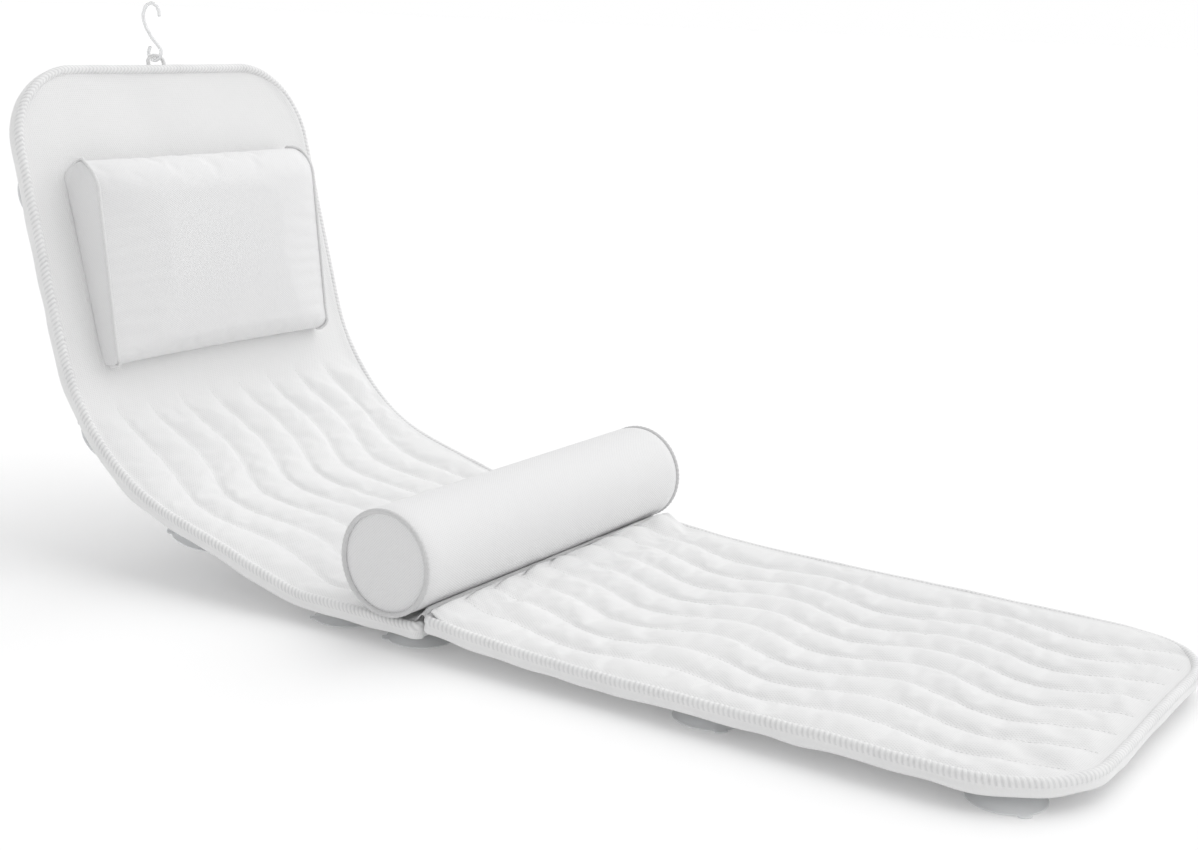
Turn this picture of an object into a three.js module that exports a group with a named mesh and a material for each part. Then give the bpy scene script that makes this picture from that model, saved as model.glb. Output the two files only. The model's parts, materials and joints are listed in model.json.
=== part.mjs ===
// Full length bath pillow: a quilted mesh mat for a tub, with a wedge headrest, a round bolster,
// a hanging hook and suction cups. X runs from head to foot, Y across the mat, Z up, millimetres.
// The mat is two bound panels that meet at a fold under the bolster. Places on a panel are given
// as a distance from the fold, a place across it and a height above its underside.
import * as THREE from 'three';
import { mergeVertices } from 'three/addons/utils/BufferGeometryUtils.js';

const degree = Math.PI / 180;

// The gap that pieces keep where one rests on another
const seatGap = 0.3;
// Panels: width, lengths and bends along the underside, corners
const panelWidth = 380;
const legLength = 537;
// The leg panel's end at the fold rises in a long bend, level with the back's top
const legEndBendLength = 180;
const legEndBend = 5 * degree;
const foldFlatLength = 118;
const kneeBendLength = 30;
const kneeBend = 15 * degree;
const seatLength = 140;
const lumbarBendLength = 215;
const lumbarBend = 60 * degree;
const headLength = 251;
const headCornerRadius = 80;
const footCornerRadius = 88;

// Layers of a panel, from the underside up
const backingThickness = 2.4;
const paddingThickness = 4.5;
const coverThickness = 2;
const quiltPuff = 5;
const smoothPuffShare = 0.5;
const bindingWidth = 9;
const bindingHeight = 15;
const bindingFlatShare = 0.414;
const bindingLowCut = 2;
const foldGap = 0.15;

// Quilting: stitched channels that run lengthwise in step, as waves
const channelCount = 9;
const channelSteps = 3;
const crownShapeShare = 0.6;
const waveLength = 160;
const waveHeight = 11;
const waveFadePower = 4;
const rowSpacing = 27;
const foldSmoothLength = 72;
const smoothBelowHeadrest = 22;
const quiltFadeLength = 34;
const footSmoothLength = 6;
const cornerSteps = 5;

// Suction cups, with a mushroom head held in a patch sewn under the mat
const cupRadius = 28.5;
const cupHeight = 12;
const cupWall = 1.4;
const cupLip = 1.6;
const cupHollow = 5.6;
const cupRim = 0.8;
const cupTabReach = 4;
const cupTabWidth = 9;
const cupTabTurn = 45 * degree;
const cupNeckRadius = 3;
const cupHeadRadius = 6.2;
const cupHeadThickness = 1.7;
const cupSides = 16;
const cupShoulderShare = 0.62;
const cupShoulderRiseShare = 0.66;
const cupHeadTopShare = 0.8;
const cupTabCornerShare = 0.75;
const cupFromEdge = 38.5;
const legCupSpacing = 231;
const legCupFromFoot = 58;
const foldCupFromFold = 27;
const flatCupFromBend = 12;
const seatCupFromBend = 10;
const lumbarCupIntoBend = 125;
const headCupFromEnd = 110;
const patchRadius = 15;
const patchFlange = 4;
const patchThickness = 1.1;
const patchDepth = 3.9;
const patchSides = 12;
const patchHoleClearance = 0.4;

// Fold tape that hides the joint between the panels
const foldTapeReach = 15;
const foldTapeThickness = 1;
const foldTapeEndInset = 20;

// Hook-and-loop strips
const stripThickness = 1;
const stripWidth = 24;

// Bolster
const bolsterRadius = 45.6;
const bolsterOverhang = 2;
const bolsterFromFold = 32;
const bolsterWall = 2.4;
const bolsterEndThickness = 2.4;
const bolsterEndProud = 1.8;
const bolsterShoulder = 14;
const bolsterDrawIn = 1.6;
const bolsterSides = 28;
const bolsterStripLength = 300;
const bolsterStripSteps = 4;
const pipingRadius = 2.4;
const pipingSides = 6;

// Headrest: a wedge, thin at its lower edge and round at its top
const headrestWidth = 284;
const headrestLength = 195;
const headrestFromEnd = 90;
const headrestLowDepth = 20;
const headrestHighDepth = 45;
const headrestLowRound = 9;
const headrestHighRound = 24;
const headrestCrown = 7;
const headrestLowCrownShare = 0.4;
const headrestFaceCrownShare = 0.5;
const headrestCover = 2.4;
// The room that the cover leaves round its crowned filling
const headrestFillingGap = 2.6;
const headrestSlices = 8;
const headrestRoundSteps = 4;
const headrestFaceSteps = 4;
const headrestStripLength = 200;
const headrestStripFromTop = 26;
const headrestStripFromLow = 56;
const gussetThickness = 2;
const headrestPipingRadius = 2;

// Hanging loop and hook
const loopRadius = 10;
const loopHeight = 9;
const loopCordRadius = 2.2;
const loopSteps = 10;
const hookWireRadius = 1.7;
const hookHeight = 57;
const hookSteps = 34;
const hookPathShares = [
  [0.133, 0.726], [0.112, 0.837], [0.045, 0.92], [-0.072, 0.948], [-0.195, 0.89], [-0.256, 0.761],
  [-0.225, 0.607], [-0.133, 0.463], [-0.035, 0.35], [0.075, 0.262], [0.155, 0.165], [0.118, 0.05],
  [0, 0], [-0.108, 0.035], [-0.147, 0.125], [-0.09, 0.24],
];

// Colours and finishes
const meshCloth = { color: 0xf2f2f1, roughness: 0.92, metalness: 0 };
const tape = { color: 0xf6f6f5, roughness: 0.85, metalness: 0 };
const filling = { color: 0xe8e8e4, roughness: 0.95, metalness: 0 };
const gripStrip = { color: 0xeeeeec, roughness: 0.9, metalness: 0 };
const clearCup = { color: 0xd3d6d8, roughness: 0.25, metalness: 0 };
const hookPlastic = { color: 0xe9ebec, roughness: 0.3, metalness: 0 };

// Places that follow from the sizes
const backLength = foldFlatLength + kneeBendLength + seatLength + lumbarBendLength + headLength;
const lumbarStart = foldFlatLength + kneeBendLength + seatLength;
const headrestHigh = backLength - headrestFromEnd;
const headrestLow = headrestHigh - headrestLength;
const headSmoothStart = headrestLow - smoothBelowHeadrest;
const bolsterLength = panelWidth + 2 * bolsterOverhang;
const legCupPlaces = [legLength - legCupFromFoot - legCupSpacing, legLength - legCupFromFoot];
const backCupPlaces = [
  foldCupFromFold, foldFlatLength - flatCupFromBend, lumbarStart - seatCupFromBend,
  lumbarStart + lumbarCupIntoBend, backLength - headCupFromEnd,
];

// Heights that the layers share
const paddingBase = backingThickness + seatGap;
const coverBase = paddingBase + paddingThickness + seatGap;
const valleyHeight = coverBase + coverThickness;
const smoothHeight = valleyHeight + quiltPuff * smoothPuffShare;
const edgeInset = bindingWidth + seatGap;

// A closed solid from points and triangles, with its faces turned outwards
function closedSolid(points, triangles) {
  const rough = new THREE.BufferGeometry();
  rough.setAttribute('position', new THREE.Float32BufferAttribute(points.flatMap((p) => [p.x, p.y, p.z]), 3));
  rough.setIndex(triangles.flat());
  return facedOut(rough);
}

function facedOut(rough) {
  const geometry = rough.clone();
  geometry.deleteAttribute('normal');
  geometry.deleteAttribute('uv');
  const merged = mergeVertices(geometry);
  const place = merged.getAttribute('position');
  const corner = (index) => new THREE.Vector3().fromBufferAttribute(place, index);
  const kept = [];
  let volume = 0;
  for (let i = 0; i < merged.index.count; i += 3) {
    const [a, b, c] = [merged.index.getX(i), merged.index.getX(i + 1), merged.index.getX(i + 2)];
    if (a === b || b === c || c === a) continue;
    kept.push([a, b, c]);
    volume += corner(a).dot(corner(b).cross(corner(c)));
  }
  merged.setIndex(kept.flatMap(([a, b, c]) => (volume < 0 ? [a, c, b] : [a, b, c])));
  merged.computeVertexNormals();
  return merged;
}

// Rings of points joined into one skin. An open skin has caps cut from the flat outline.
function loft(rings, capOutline) {
  const size = rings[0].length;
  const triangles = [];
  const last = capOutline ? rings.length - 1 : rings.length;
  for (let i = 0; i < last; i += 1) {
    const here = i * size;
    const next = ((i + 1) % rings.length) * size;
    for (let j = 0; j < size; j += 1) {
      const k = (j + 1) % size;
      triangles.push([here + j, next + j, next + k], [here + j, next + k, here + k]);
    }
  }
  if (capOutline) {
    const end = (rings.length - 1) * size;
    for (const [a, b, c] of THREE.ShapeUtils.triangulateShape(capOutline, [])) {
      triangles.push([a, b, c], [end + a, end + c, end + b]);
    }
    const outlineTurn = Math.sign(THREE.ShapeUtils.area(capOutline));
    if (outlineTurn < 0) return loft(rings.map((ring) => [...ring].reverse()), [...capOutline].reverse());
  }
  return closedSolid(rings.flat(), triangles);
}

// A panel follows straight and bent runs, seen from the side
class Panel {
  constructor(towards, runs, cornerRadius, startRise = 0, startAngle = 0) {
    this.towards = towards;
    this.runs = runs;
    this.cornerRadius = cornerRadius;
    this.startHeight = cupHeight + startRise;
    this.startAngle = startAngle;
    this.length = runs.reduce((sum, run) => sum + run.length, 0);
    this.cornerStart = this.length - cornerRadius;
  }

  frame(along) {
    let x = 0;
    let z = this.startHeight;
    let angle = this.startAngle;
    let left = along;
    this.runs.forEach((run, index) => {
      const step = index === this.runs.length - 1 ? left : Math.min(left, run.length);
      const turn = (run.turn * step) / run.length;
      if (turn === 0) {
        x += this.towards * step * Math.cos(angle);
        z += step * Math.sin(angle);
      } else {
        const radius = run.length / run.turn;
        x += this.towards * radius * (Math.sin(angle + turn) - Math.sin(angle));
        z += radius * (Math.cos(angle) - Math.cos(angle + turn));
      }
      angle += turn;
      left -= step;
    });
    return { x, z, angle };
  }

  normal(along) {
    const { angle } = this.frame(along);
    return new THREE.Vector3(-this.towards * Math.sin(angle), 0, Math.cos(angle));
  }

  at(along, across, height) {
    const { x, z } = this.frame(along);
    return new THREE.Vector3(x, across, z).addScaledVector(this.normal(along), height);
  }

  halfWidth(along, inset) {
    const full = panelWidth / 2 - inset;
    const radius = this.cornerRadius - inset;
    const past = Math.min(Math.max(along - this.cornerStart, 0), radius);
    return full - radius + Math.sqrt(radius * radius - past * past);
  }

  // Places along the panel that every layer shares, so that layers never cut into each other
  stations(inset) {
    const places = [inset + foldGap];
    let start = 0;
    for (const run of this.runs) {
      const end = Math.min(start + run.length, this.cornerStart);
      const steps = Math.max(1, Math.round((end - start) / rowSpacing));
      for (let i = 1; i <= steps; i += 1) places.push(start + ((end - start) * i) / steps);
      start += run.length;
    }
    for (let i = 1; i <= cornerSteps; i += 1) {
      const radius = this.cornerRadius - inset;
      places.push(this.cornerStart + radius * Math.sin((Math.PI / 2) * (i / cornerSteps)));
    }
    return places;
  }
}

const legEndRise = (legEndBendLength / legEndBend) * (1 - Math.cos(legEndBend));
const legPanel = new Panel(1, [
  { length: legEndBendLength, turn: legEndBend },
  { length: legLength - legEndBendLength, turn: 0 },
], footCornerRadius, legEndRise, -legEndBend);
const backPanel = new Panel(-1, [
  { length: foldFlatLength, turn: 0 },
  { length: kneeBendLength, turn: kneeBend },
  { length: seatLength, turn: 0 },
  { length: lumbarBendLength, turn: lumbarBend },
  { length: headLength, turn: 0 },
], headCornerRadius);

// A sheet between a flat underside and an upper line that each row gives across the panel
function sheet(panel, rows, underside) {
  const size = rows[0].upper.length;
  const points = [];
  const triangles = [];
  for (const { along, upper } of rows) {
    for (const [across, height] of upper) points.push(panel.at(along, across, height));
    points.push(panel.at(along, upper[0][0], underside), panel.at(along, upper[size - 1][0], underside));
  }
  const stride = size + 2;
  const quad = (a, b, c, d) => triangles.push([a, b, c], [a, c, d]);
  for (let i = 0; i < rows.length - 1; i += 1) {
    const here = i * stride;
    const next = here + stride;
    for (let j = 0; j < size - 1; j += 1) quad(here + j, next + j, next + j + 1, here + j + 1);
    quad(here + size, here + size + 1, next + size + 1, next + size);
    quad(here + size, next + size, next, here);
    quad(here + size - 1, next + size - 1, next + size + 1, here + size + 1);
  }
  const loop = [...Array(size).keys(), size + 1, size];
  const outline = (row) => [
    ...row.upper.map(([across, height]) => new THREE.Vector2(across, height)),
    new THREE.Vector2(row.upper[size - 1][0], underside),
    new THREE.Vector2(row.upper[0][0], underside),
  ];
  const end = (rows.length - 1) * stride;
  for (const [a, b, c] of THREE.ShapeUtils.triangulateShape(outline(rows[0]), [])) {
    triangles.push([loop[a], loop[c], loop[b]]);
  }
  for (const [a, b, c] of THREE.ShapeUtils.triangulateShape(outline(rows.at(-1)), [])) {
    triangles.push([end + loop[a], end + loop[b], end + loop[c]]);
  }
  return closedSolid(points, triangles);
}

function plainSheet(panel, base, thickness) {
  const rows = panel.stations(edgeInset).map((along) => {
    const half = panel.halfWidth(along, edgeInset);
    return { along, upper: [[-half, base + thickness], [half, base + thickness]] };
  });
  return sheet(panel, rows, base);
}

const smoothStep = (value) => THREE.MathUtils.smoothstep(value, 0, 1);

// How much of the quilting's puff there is: none at the fold, under the headrest and at the very end
function quiltShare(panel, along) {
  const fromFold = panel === backPanel ? foldSmoothLength : 0;
  const toEnd = panel === backPanel ? headSmoothStart : panel.length - edgeInset - footSmoothLength;
  const start = smoothStep((along - fromFold) / quiltFadeLength);
  const end = smoothStep((toEnd - along) / quiltFadeLength);
  return panel === backPanel ? start * end : end;
}

function quiltedCover(panel) {
  const columns = channelCount * channelSteps;
  const full = panelWidth / 2 - edgeInset;
  const rows = panel.stations(edgeInset).map((along) => {
    const quilt = quiltShare(panel, along);
    const wave = waveHeight * Math.sin((2 * Math.PI * along) / waveLength);
    const fit = panel.halfWidth(along, edgeInset) / full;
    const upper = [];
    for (let j = 0; j <= columns; j += 1) {
      const share = (2 * j) / columns - 1;
      const across = (share * full + wave * (1 - share ** waveFadePower)) * fit;
      const crown = Math.abs(Math.sin((Math.PI * j) / channelSteps)) ** crownShapeShare;
      upper.push([across, valleyHeight + quiltPuff * (quilt * crown + (1 - quilt) * smoothPuffShare)]);
    }
    return { along, upper };
  });
  return sheet(panel, rows, coverBase);
}

// Rolled edge tape: one ring round the panel
function binding(panel) {
  const ringHalf = bindingWidth / 2;
  const middleHeight = bindingHeight / 2;
  const flat = ringHalf * bindingFlatShare;
  const shoulder = middleHeight + middleHeight * bindingFlatShare;
  // The tape's section: well rounded at its upper edges, and squarer below
  const section = [
    [ringHalf, shoulder], [flat, bindingHeight], [-flat, bindingHeight], [-ringHalf, shoulder],
    [-ringHalf, bindingLowCut], [bindingLowCut - ringHalf, 0], [ringHalf - bindingLowCut, 0], [ringHalf, bindingLowCut],
  ];
  const half = panelWidth / 2 - ringHalf;
  const far = panel.length - ringHalf;
  const start = ringHalf + foldGap;
  const path = [];
  const corner = (along, across, radius, from) => {
    for (let i = 0; i <= cornerSteps; i += 1) {
      const turn = from + (Math.PI / 2) * (i / cornerSteps);
      path.push({
        along: along + radius * Math.cos(turn), across: across + radius * Math.sin(turn),
        out: [Math.cos(turn), Math.sin(turn)],
      });
    }
  };
  // The fold end's corners turn as tightly as the tape allows
  const near = ringHalf;
  const farRadius = panel.cornerRadius - ringHalf;
  const middle = panel.stations(edgeInset).filter((s) => s > start + near && s < far - farRadius - seatGap);
  corner(start + near, -half + near, near, Math.PI);
  for (const along of middle) path.push({ along, across: -half, out: [0, -1] });
  corner(far - farRadius, -half + farRadius, farRadius, -Math.PI / 2);
  corner(far - farRadius, half - farRadius, farRadius, 0);
  for (const along of [...middle].reverse()) path.push({ along, across: half, out: [0, 1] });
  corner(start + near, half - near, near, Math.PI / 2);
  const rings = path.map(({ along, across, out }) => section.map(
    ([reach, height]) => panel.at(along + out[0] * reach, across + out[1] * reach, height),
  ));
  return loft(rings, null);
}

// A flat strip laid on a panel, given by its two ends along and its reach across
function stripOn(panel, from, to, halfAcross, base, thickness) {
  const rows = [from, to].map((along) => ({
    along, upper: [[-halfAcross, base + thickness], [halfAcross, base + thickness]],
  }));
  return sheet(panel, rows, base);
}

// Tube with a round section along a path, given a side direction for each point
function tube(centres, radius, sides, sideAxis, closed) {
  const rings = centres.map((centre, i) => {
    const before = centres[closed ? (i + centres.length - 1) % centres.length : Math.max(i - 1, 0)];
    const after = centres[closed ? (i + 1) % centres.length : Math.min(i + 1, centres.length - 1)];
    const ahead = after.clone().sub(before).normalize();
    const up = ahead.clone().cross(sideAxis).normalize();
    return Array.from({ length: sides }, (_, k) => {
      const turn = (2 * Math.PI * k) / sides;
      return centre.clone()
        .addScaledVector(sideAxis, radius * Math.cos(turn))
        .addScaledVector(up, radius * Math.sin(turn));
    });
  });
  const cap = Array.from({ length: sides }, (_, k) => {
    const turn = (2 * Math.PI * k) / sides;
    return new THREE.Vector2(Math.cos(turn), Math.sin(turn));
  });
  return loft(rings, closed ? null : cap);
}

function lathe(outline, sides) {
  return facedOut(new THREE.LatheGeometry(outline.map(([r, y]) => new THREE.Vector2(r, y)), sides));
}

// Suction cup: its lip lies at height 0, and its mushroom head ends just under the mat. A tab to
// pull it off by sticks out of the rim. Each row of points goes round the cup's axis.
function cupGeometry(tabTurn) {
  const domeTop = cupHeight - patchDepth - seatGap;
  const headTop = cupHeight - seatGap;
  const headBase = headTop - cupHeadThickness;
  const shoulder = cupRadius * cupShoulderShare;
  const shoulderHollow = cupHollow * cupShoulderRiseShare;
  const outline = [
    [shoulder, shoulderHollow], [cupRadius - cupLip, 0], [cupRadius, 0], [cupRadius, cupRim],
    [shoulder, shoulderHollow + cupWall], [cupNeckRadius, domeTop],
    [cupNeckRadius, headBase], [cupHeadRadius, headBase], [cupHeadRadius * cupHeadTopShare, headTop],
  ];
  const half = Math.asin(cupTabWidth / 2 / cupRadius);
  const turns = [-half, -half * cupTabCornerShare, half * cupTabCornerShare, half];
  for (let i = 1; i < cupSides; i += 1) turns.push(half + ((2 * Math.PI - 2 * half) * i) / cupSides);
  const points = [new THREE.Vector3(0, cupHollow, 0), new THREE.Vector3(0, headTop, 0)];
  const triangles = [];
  turns.forEach((turn, i) => {
    const tab = i === 1 || i === 2 ? cupTabReach : 0;
    for (const [radius, height] of outline) {
      const reach = radius === cupRadius ? radius + tab : radius;
      points.push(new THREE.Vector3(reach * Math.sin(tabTurn + turn), height, reach * Math.cos(tabTurn + turn)));
    }
    const here = 2 + i * outline.length;
    const next = 2 + ((i + 1) % turns.length) * outline.length;
    for (let j = 0; j < outline.length - 1; j += 1) {
      triangles.push([here + j, next + j, next + j + 1], [here + j, next + j + 1, here + j + 1]);
    }
    triangles.push([0, next, here], [1, here + outline.length - 1, next + outline.length - 1]);
  });
  return closedSolid(points, triangles);
}

// Patch sewn under the mat: a flange against the backing and a dish that holds the cup's head
function patchGeometry() {
  const hole = cupNeckRadius + patchHoleClearance;
  const top = -seatGap;
  const bowl = patchRadius - patchFlange;
  return lathe([
    [hole, -patchDepth], [bowl, -patchDepth], [patchRadius, top - patchThickness], [patchRadius, top],
    [bowl, top], [bowl - patchThickness, -patchDepth + patchThickness],
    [hole, -patchDepth + patchThickness], [hole, -patchDepth],
  ], patchSides);
}

// Headrest section in its own plane: distance along the panel and height above the headrest's base
const headrestBase = smoothHeight + 2 * (stripThickness + seatGap) + seatGap;

function wedgeFront(inset, crown) {
  const low = headrestLow + inset;
  const high = headrestHigh - inset;
  const lowDepth = headrestLowDepth + crown * headrestLowCrownShare - inset;
  const highDepth = headrestHighDepth + crown - inset;
  const lowRound = headrestLowRound - inset;
  const highRound = headrestHighRound - inset;
  const front = [[low, 0]];
  for (let i = 0; i <= headrestRoundSteps; i += 1) {
    const turn = Math.PI - (Math.PI / 2) * (i / headrestRoundSteps);
    front.push([low + lowRound + lowRound * Math.cos(turn), lowDepth - lowRound + lowRound * Math.sin(turn)]);
  }
  for (let i = 1; i < headrestFaceSteps; i += 1) {
    const share = i / headrestFaceSteps;
    const bulge = crown * headrestFaceCrownShare * Math.sin(Math.PI * share);
    front.push([
      THREE.MathUtils.lerp(low + lowRound, high - highRound, share),
      THREE.MathUtils.lerp(lowDepth, highDepth, share) + bulge,
    ]);
  }
  for (let i = 0; i <= headrestRoundSteps; i += 1) {
    const turn = Math.PI / 2 - (Math.PI / 2) * (i / headrestRoundSteps);
    front.push([high - highRound + highRound * Math.cos(turn), highDepth - highRound + highRound * Math.sin(turn)]);
  }
  front.push([high, 0]);
  return front;
}

// The wedge's base follows the mat between its two ends, at the mat's own stations
function wedgeBase(inset, height) {
  const low = headrestLow + inset;
  const high = headrestHigh - inset;
  const inside = backPanel.stations(edgeInset).filter((s) => s > low + seatGap && s < high - seatGap);
  return [high, ...inside.reverse(), low].map((along) => [along, height]);
}

function raiseEnds(front, height) {
  return front.map(([along, rise]) => [along, Math.max(rise, height)]);
}

const crownShare = (across) => 1 - (across / (headrestWidth / 2)) ** 2;

function wedgeLoft(outlineAt, halfAcross, slices) {
  const places = Array.from({ length: slices + 1 }, (_, i) => halfAcross * ((2 * i) / slices - 1));
  const rings = places.map((across) => outlineAt(across)
    .map(([along, rise]) => backPanel.at(along, across, headrestBase + rise)));
  return loft(rings, outlineAt(places[0]).map(([along, rise]) => new THREE.Vector2(along, rise)));
}

function headrestCoverGeometry() {
  const outline = (across) => {
    const crown = headrestCrown * crownShare(across);
    return [...wedgeFront(0, crown), ...wedgeFront(headrestCover, crown).reverse()];
  };
  return wedgeLoft(outline, headrestWidth / 2, headrestSlices);
}

function headrestCoreGeometry() {
  const inset = headrestCover + headrestFillingGap;
  const base = headrestCover + seatGap;
  const half = headrestWidth / 2 - headrestFillingGap;
  const outline = (across) => {
    const front = wedgeFront(inset, headrestCrown * crownShare(across));
    return [...raiseEnds(front, base), ...wedgeBase(inset, base).slice(1, -1)];
  };
  return wedgeLoft(outline, half, headrestSlices);
}

function headrestBackGeometry() {
  const inset = headrestCover + seatGap;
  const outline = () => {
    const base = wedgeBase(inset, 0);
    return [...base, ...wedgeBase(inset, headrestCover).reverse()];
  };
  return wedgeLoft(outline, headrestWidth / 2 - seatGap, 1);
}

function gussetGeometry() {
  const outline = () => [...wedgeFront(0, 0), ...wedgeBase(0, 0).slice(1, -1)];
  const places = [headrestWidth / 2 + seatGap, headrestWidth / 2 + seatGap + gussetThickness];
  const rings = places.map((across) => outline()
    .map(([along, rise]) => backPanel.at(along, across, headrestBase + rise)));
  return loft(rings, outline().map(([along, rise]) => new THREE.Vector2(along, rise)));
}

function headrestPipingGeometry() {
  const proud = -(headrestPipingRadius + seatGap);
  const across = headrestWidth / 2 + (seatGap + gussetThickness) / 2;
  const centres = raiseEnds(wedgeFront(proud, 0), headrestPipingRadius)
    .map(([along, rise]) => backPanel.at(along, across, headrestBase + rise));
  return tube(centres, headrestPipingRadius, pipingSides, new THREE.Vector3(0, 1, 0), false);
}

// A copy on the other side of the mat
function mirrored(geometry) {
  return facedOut(geometry.clone().scale(1, -1, 1));
}

// Bolster pieces, turned about the Y axis
const bolsterHeight = cupHeight + smoothHeight + 2 * (stripThickness + seatGap) + seatGap + bolsterRadius;
const bolsterPlace = new THREE.Vector3(-bolsterFromFold, 0, bolsterHeight);

function bolsterSleeveGeometry() {
  const end = bolsterLength / 2;
  const shoulder = end - bolsterShoulder;
  const outer = bolsterRadius;
  const inner = bolsterRadius - bolsterWall;
  return lathe([
    [inner - bolsterDrawIn, -end], [outer - bolsterDrawIn, -end], [outer, -shoulder], [outer, shoulder],
    [outer - bolsterDrawIn, end], [inner - bolsterDrawIn, end], [inner, shoulder], [inner, -shoulder],
    [inner - bolsterDrawIn, -end],
  ], bolsterSides);
}

const bolsterRimRadius = bolsterRadius - bolsterDrawIn - pipingRadius;

function bolsterPipingGeometry(side) {
  const place = side * (bolsterLength / 2 + pipingRadius + seatGap);
  const centres = Array.from({ length: bolsterSides }, (_, i) => {
    const turn = (2 * Math.PI * i) / bolsterSides;
    return new THREE.Vector3(bolsterRimRadius * Math.cos(turn), place, bolsterRimRadius * Math.sin(turn));
  });
  return tube(centres, pipingRadius, pipingSides, new THREE.Vector3(0, 1, 0), true);
}

function bolsterEndGeometry(side) {
  const radius = bolsterRimRadius - pipingRadius - seatGap;
  const outerFace = side * (bolsterLength / 2 + bolsterEndProud);
  const innerFace = outerFace - side * bolsterEndThickness;
  return lathe([[0, innerFace], [radius, innerFace], [radius, outerFace], [0, outerFace]], bolsterSides);
}

function bolsterCoreGeometry() {
  const radius = bolsterRadius - bolsterWall - bolsterDrawIn - seatGap;
  const end = bolsterLength / 2 + bolsterEndProud - bolsterEndThickness - seatGap;
  return lathe([[0, -end], [radius, -end], [radius, end], [0, end]], bolsterSides);
}

function bolsterStripGeometry() {
  const inner = bolsterRadius + seatGap;
  const outer = inner + stripThickness;
  const reach = Math.asin(stripWidth / 2 / outer);
  const arc = (radius) => Array.from({ length: bolsterStripSteps + 1 }, (_, i) => {
    const turn = -Math.PI / 2 - reach + (2 * reach * i) / bolsterStripSteps;
    return new THREE.Vector2(radius * Math.cos(turn), radius * Math.sin(turn));
  });
  const outline = [...arc(outer), ...arc(inner).reverse()];
  const rings = [-bolsterStripLength / 2, bolsterStripLength / 2]
    .map((across) => outline.map((p) => new THREE.Vector3(p.x, across, p.y)));
  return loft(rings, outline);
}

// Hanging loop: a cord arch sewn into the end of the head panel
function hangingLoopGeometry() {
  const foot = backPanel.length + seatGap;
  const middle = bindingHeight / 2;
  const centres = [backPanel.at(foot, -loopRadius, middle)];
  for (let i = 0; i <= loopSteps; i += 1) {
    const turn = Math.PI * (1 - i / loopSteps);
    centres.push(backPanel.at(
      foot + loopCordRadius + (loopHeight - loopCordRadius) * Math.sin(turn), loopRadius * Math.cos(turn), middle,
    ));
  }
  centres.push(backPanel.at(foot, loopRadius, middle));
  return tube(centres, loopCordRadius, pipingSides, backPanel.normal(foot), false);
}

// Hook: one bent wire with an eye round the loop's cord and an open crook
const loopTop = backPanel.at(backPanel.length + seatGap + loopHeight, 0, bindingHeight / 2);

function hookGeometry() {
  const curve = new THREE.CatmullRomCurve3(
    hookPathShares.map(([x, z]) => new THREE.Vector3(x * hookHeight, 0, z * hookHeight)),
  );
  return tube(curve.getSpacedPoints(hookSteps), hookWireRadius, pipingSides, new THREE.Vector3(0, 1, 0), false);
}

const bathPillow = new THREE.Group();

function add(name, geometry, look) {
  const mesh = new THREE.Mesh(geometry, new THREE.MeshStandardMaterial(look));
  mesh.name = name;
  bathPillow.add(mesh);
  return mesh;
}

// Places a turned piece on the panel, its axis along the panel's own upward direction
function placeOn(mesh, panel, along, across, height) {
  const up = panel.normal(along);
  const ahead = new THREE.Vector3(up.z, 0, -up.x);
  mesh.position.copy(panel.at(along, across, height));
  mesh.quaternion.setFromRotationMatrix(new THREE.Matrix4().makeBasis(ahead, up, ahead.clone().cross(up)));
}

for (const [side, panel] of [['leg', legPanel], ['back', backPanel]]) {
  add(`${side}_backing`, plainSheet(panel, 0, backingThickness), meshCloth);
  add(`${side}_padding`, plainSheet(panel, paddingBase, paddingThickness), filling);
  add(`${side}_top_cover`, quiltedCover(panel), meshCloth);
  add(`${side}_binding`, binding(panel), tape);
}

add('fold_tape', stripOn(
  legPanel, foldGap, foldTapeReach, panelWidth / 2 - foldTapeEndInset, bindingHeight + seatGap, foldTapeThickness,
), tape);

for (const [side, panel, places] of [['leg', legPanel, legCupPlaces], ['back', backPanel, backCupPlaces]]) {
  let count = 0;
  for (const along of places) {
    for (const sign of [-1, 1]) {
      count += 1;
      const across = sign * (panelWidth / 2 - cupFromEdge);
      // Each tab points outwards and away from the fold
      const tabTurn = panel.towards * (Math.PI / 2 + sign * cupTabTurn);
      placeOn(add(`${side}_cup_${count}`, cupGeometry(tabTurn), clearCup), panel, along, across, -cupHeight);
      placeOn(add(`${side}_cup_patch_${count}`, patchGeometry(), meshCloth), panel, along, across, 0);
    }
  }
}

add('headrest_cover', headrestCoverGeometry(), meshCloth);
add('headrest_core', headrestCoreGeometry(), filling);
add('headrest_back_panel', headrestBackGeometry(), meshCloth);
add('headrest_gusset_far', gussetGeometry(), meshCloth);
add('headrest_gusset_near', mirrored(gussetGeometry()), meshCloth);
add('headrest_piping_far', headrestPipingGeometry(), tape);
add('headrest_piping_near', mirrored(headrestPipingGeometry()), tape);
for (const [name, from] of [
  ['upper', headrestHigh - headrestStripFromTop - stripWidth], ['lower', headrestLow + headrestStripFromLow],
]) {
  const base = smoothHeight + seatGap;
  const strip = (height) => stripOn(backPanel, from, from + stripWidth, headrestStripLength / 2, height, stripThickness);
  add(`headrest_loop_strip_${name}`, strip(base), gripStrip);
  add(`headrest_hook_strip_${name}`, strip(base + stripThickness + seatGap), gripStrip);
}

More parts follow.
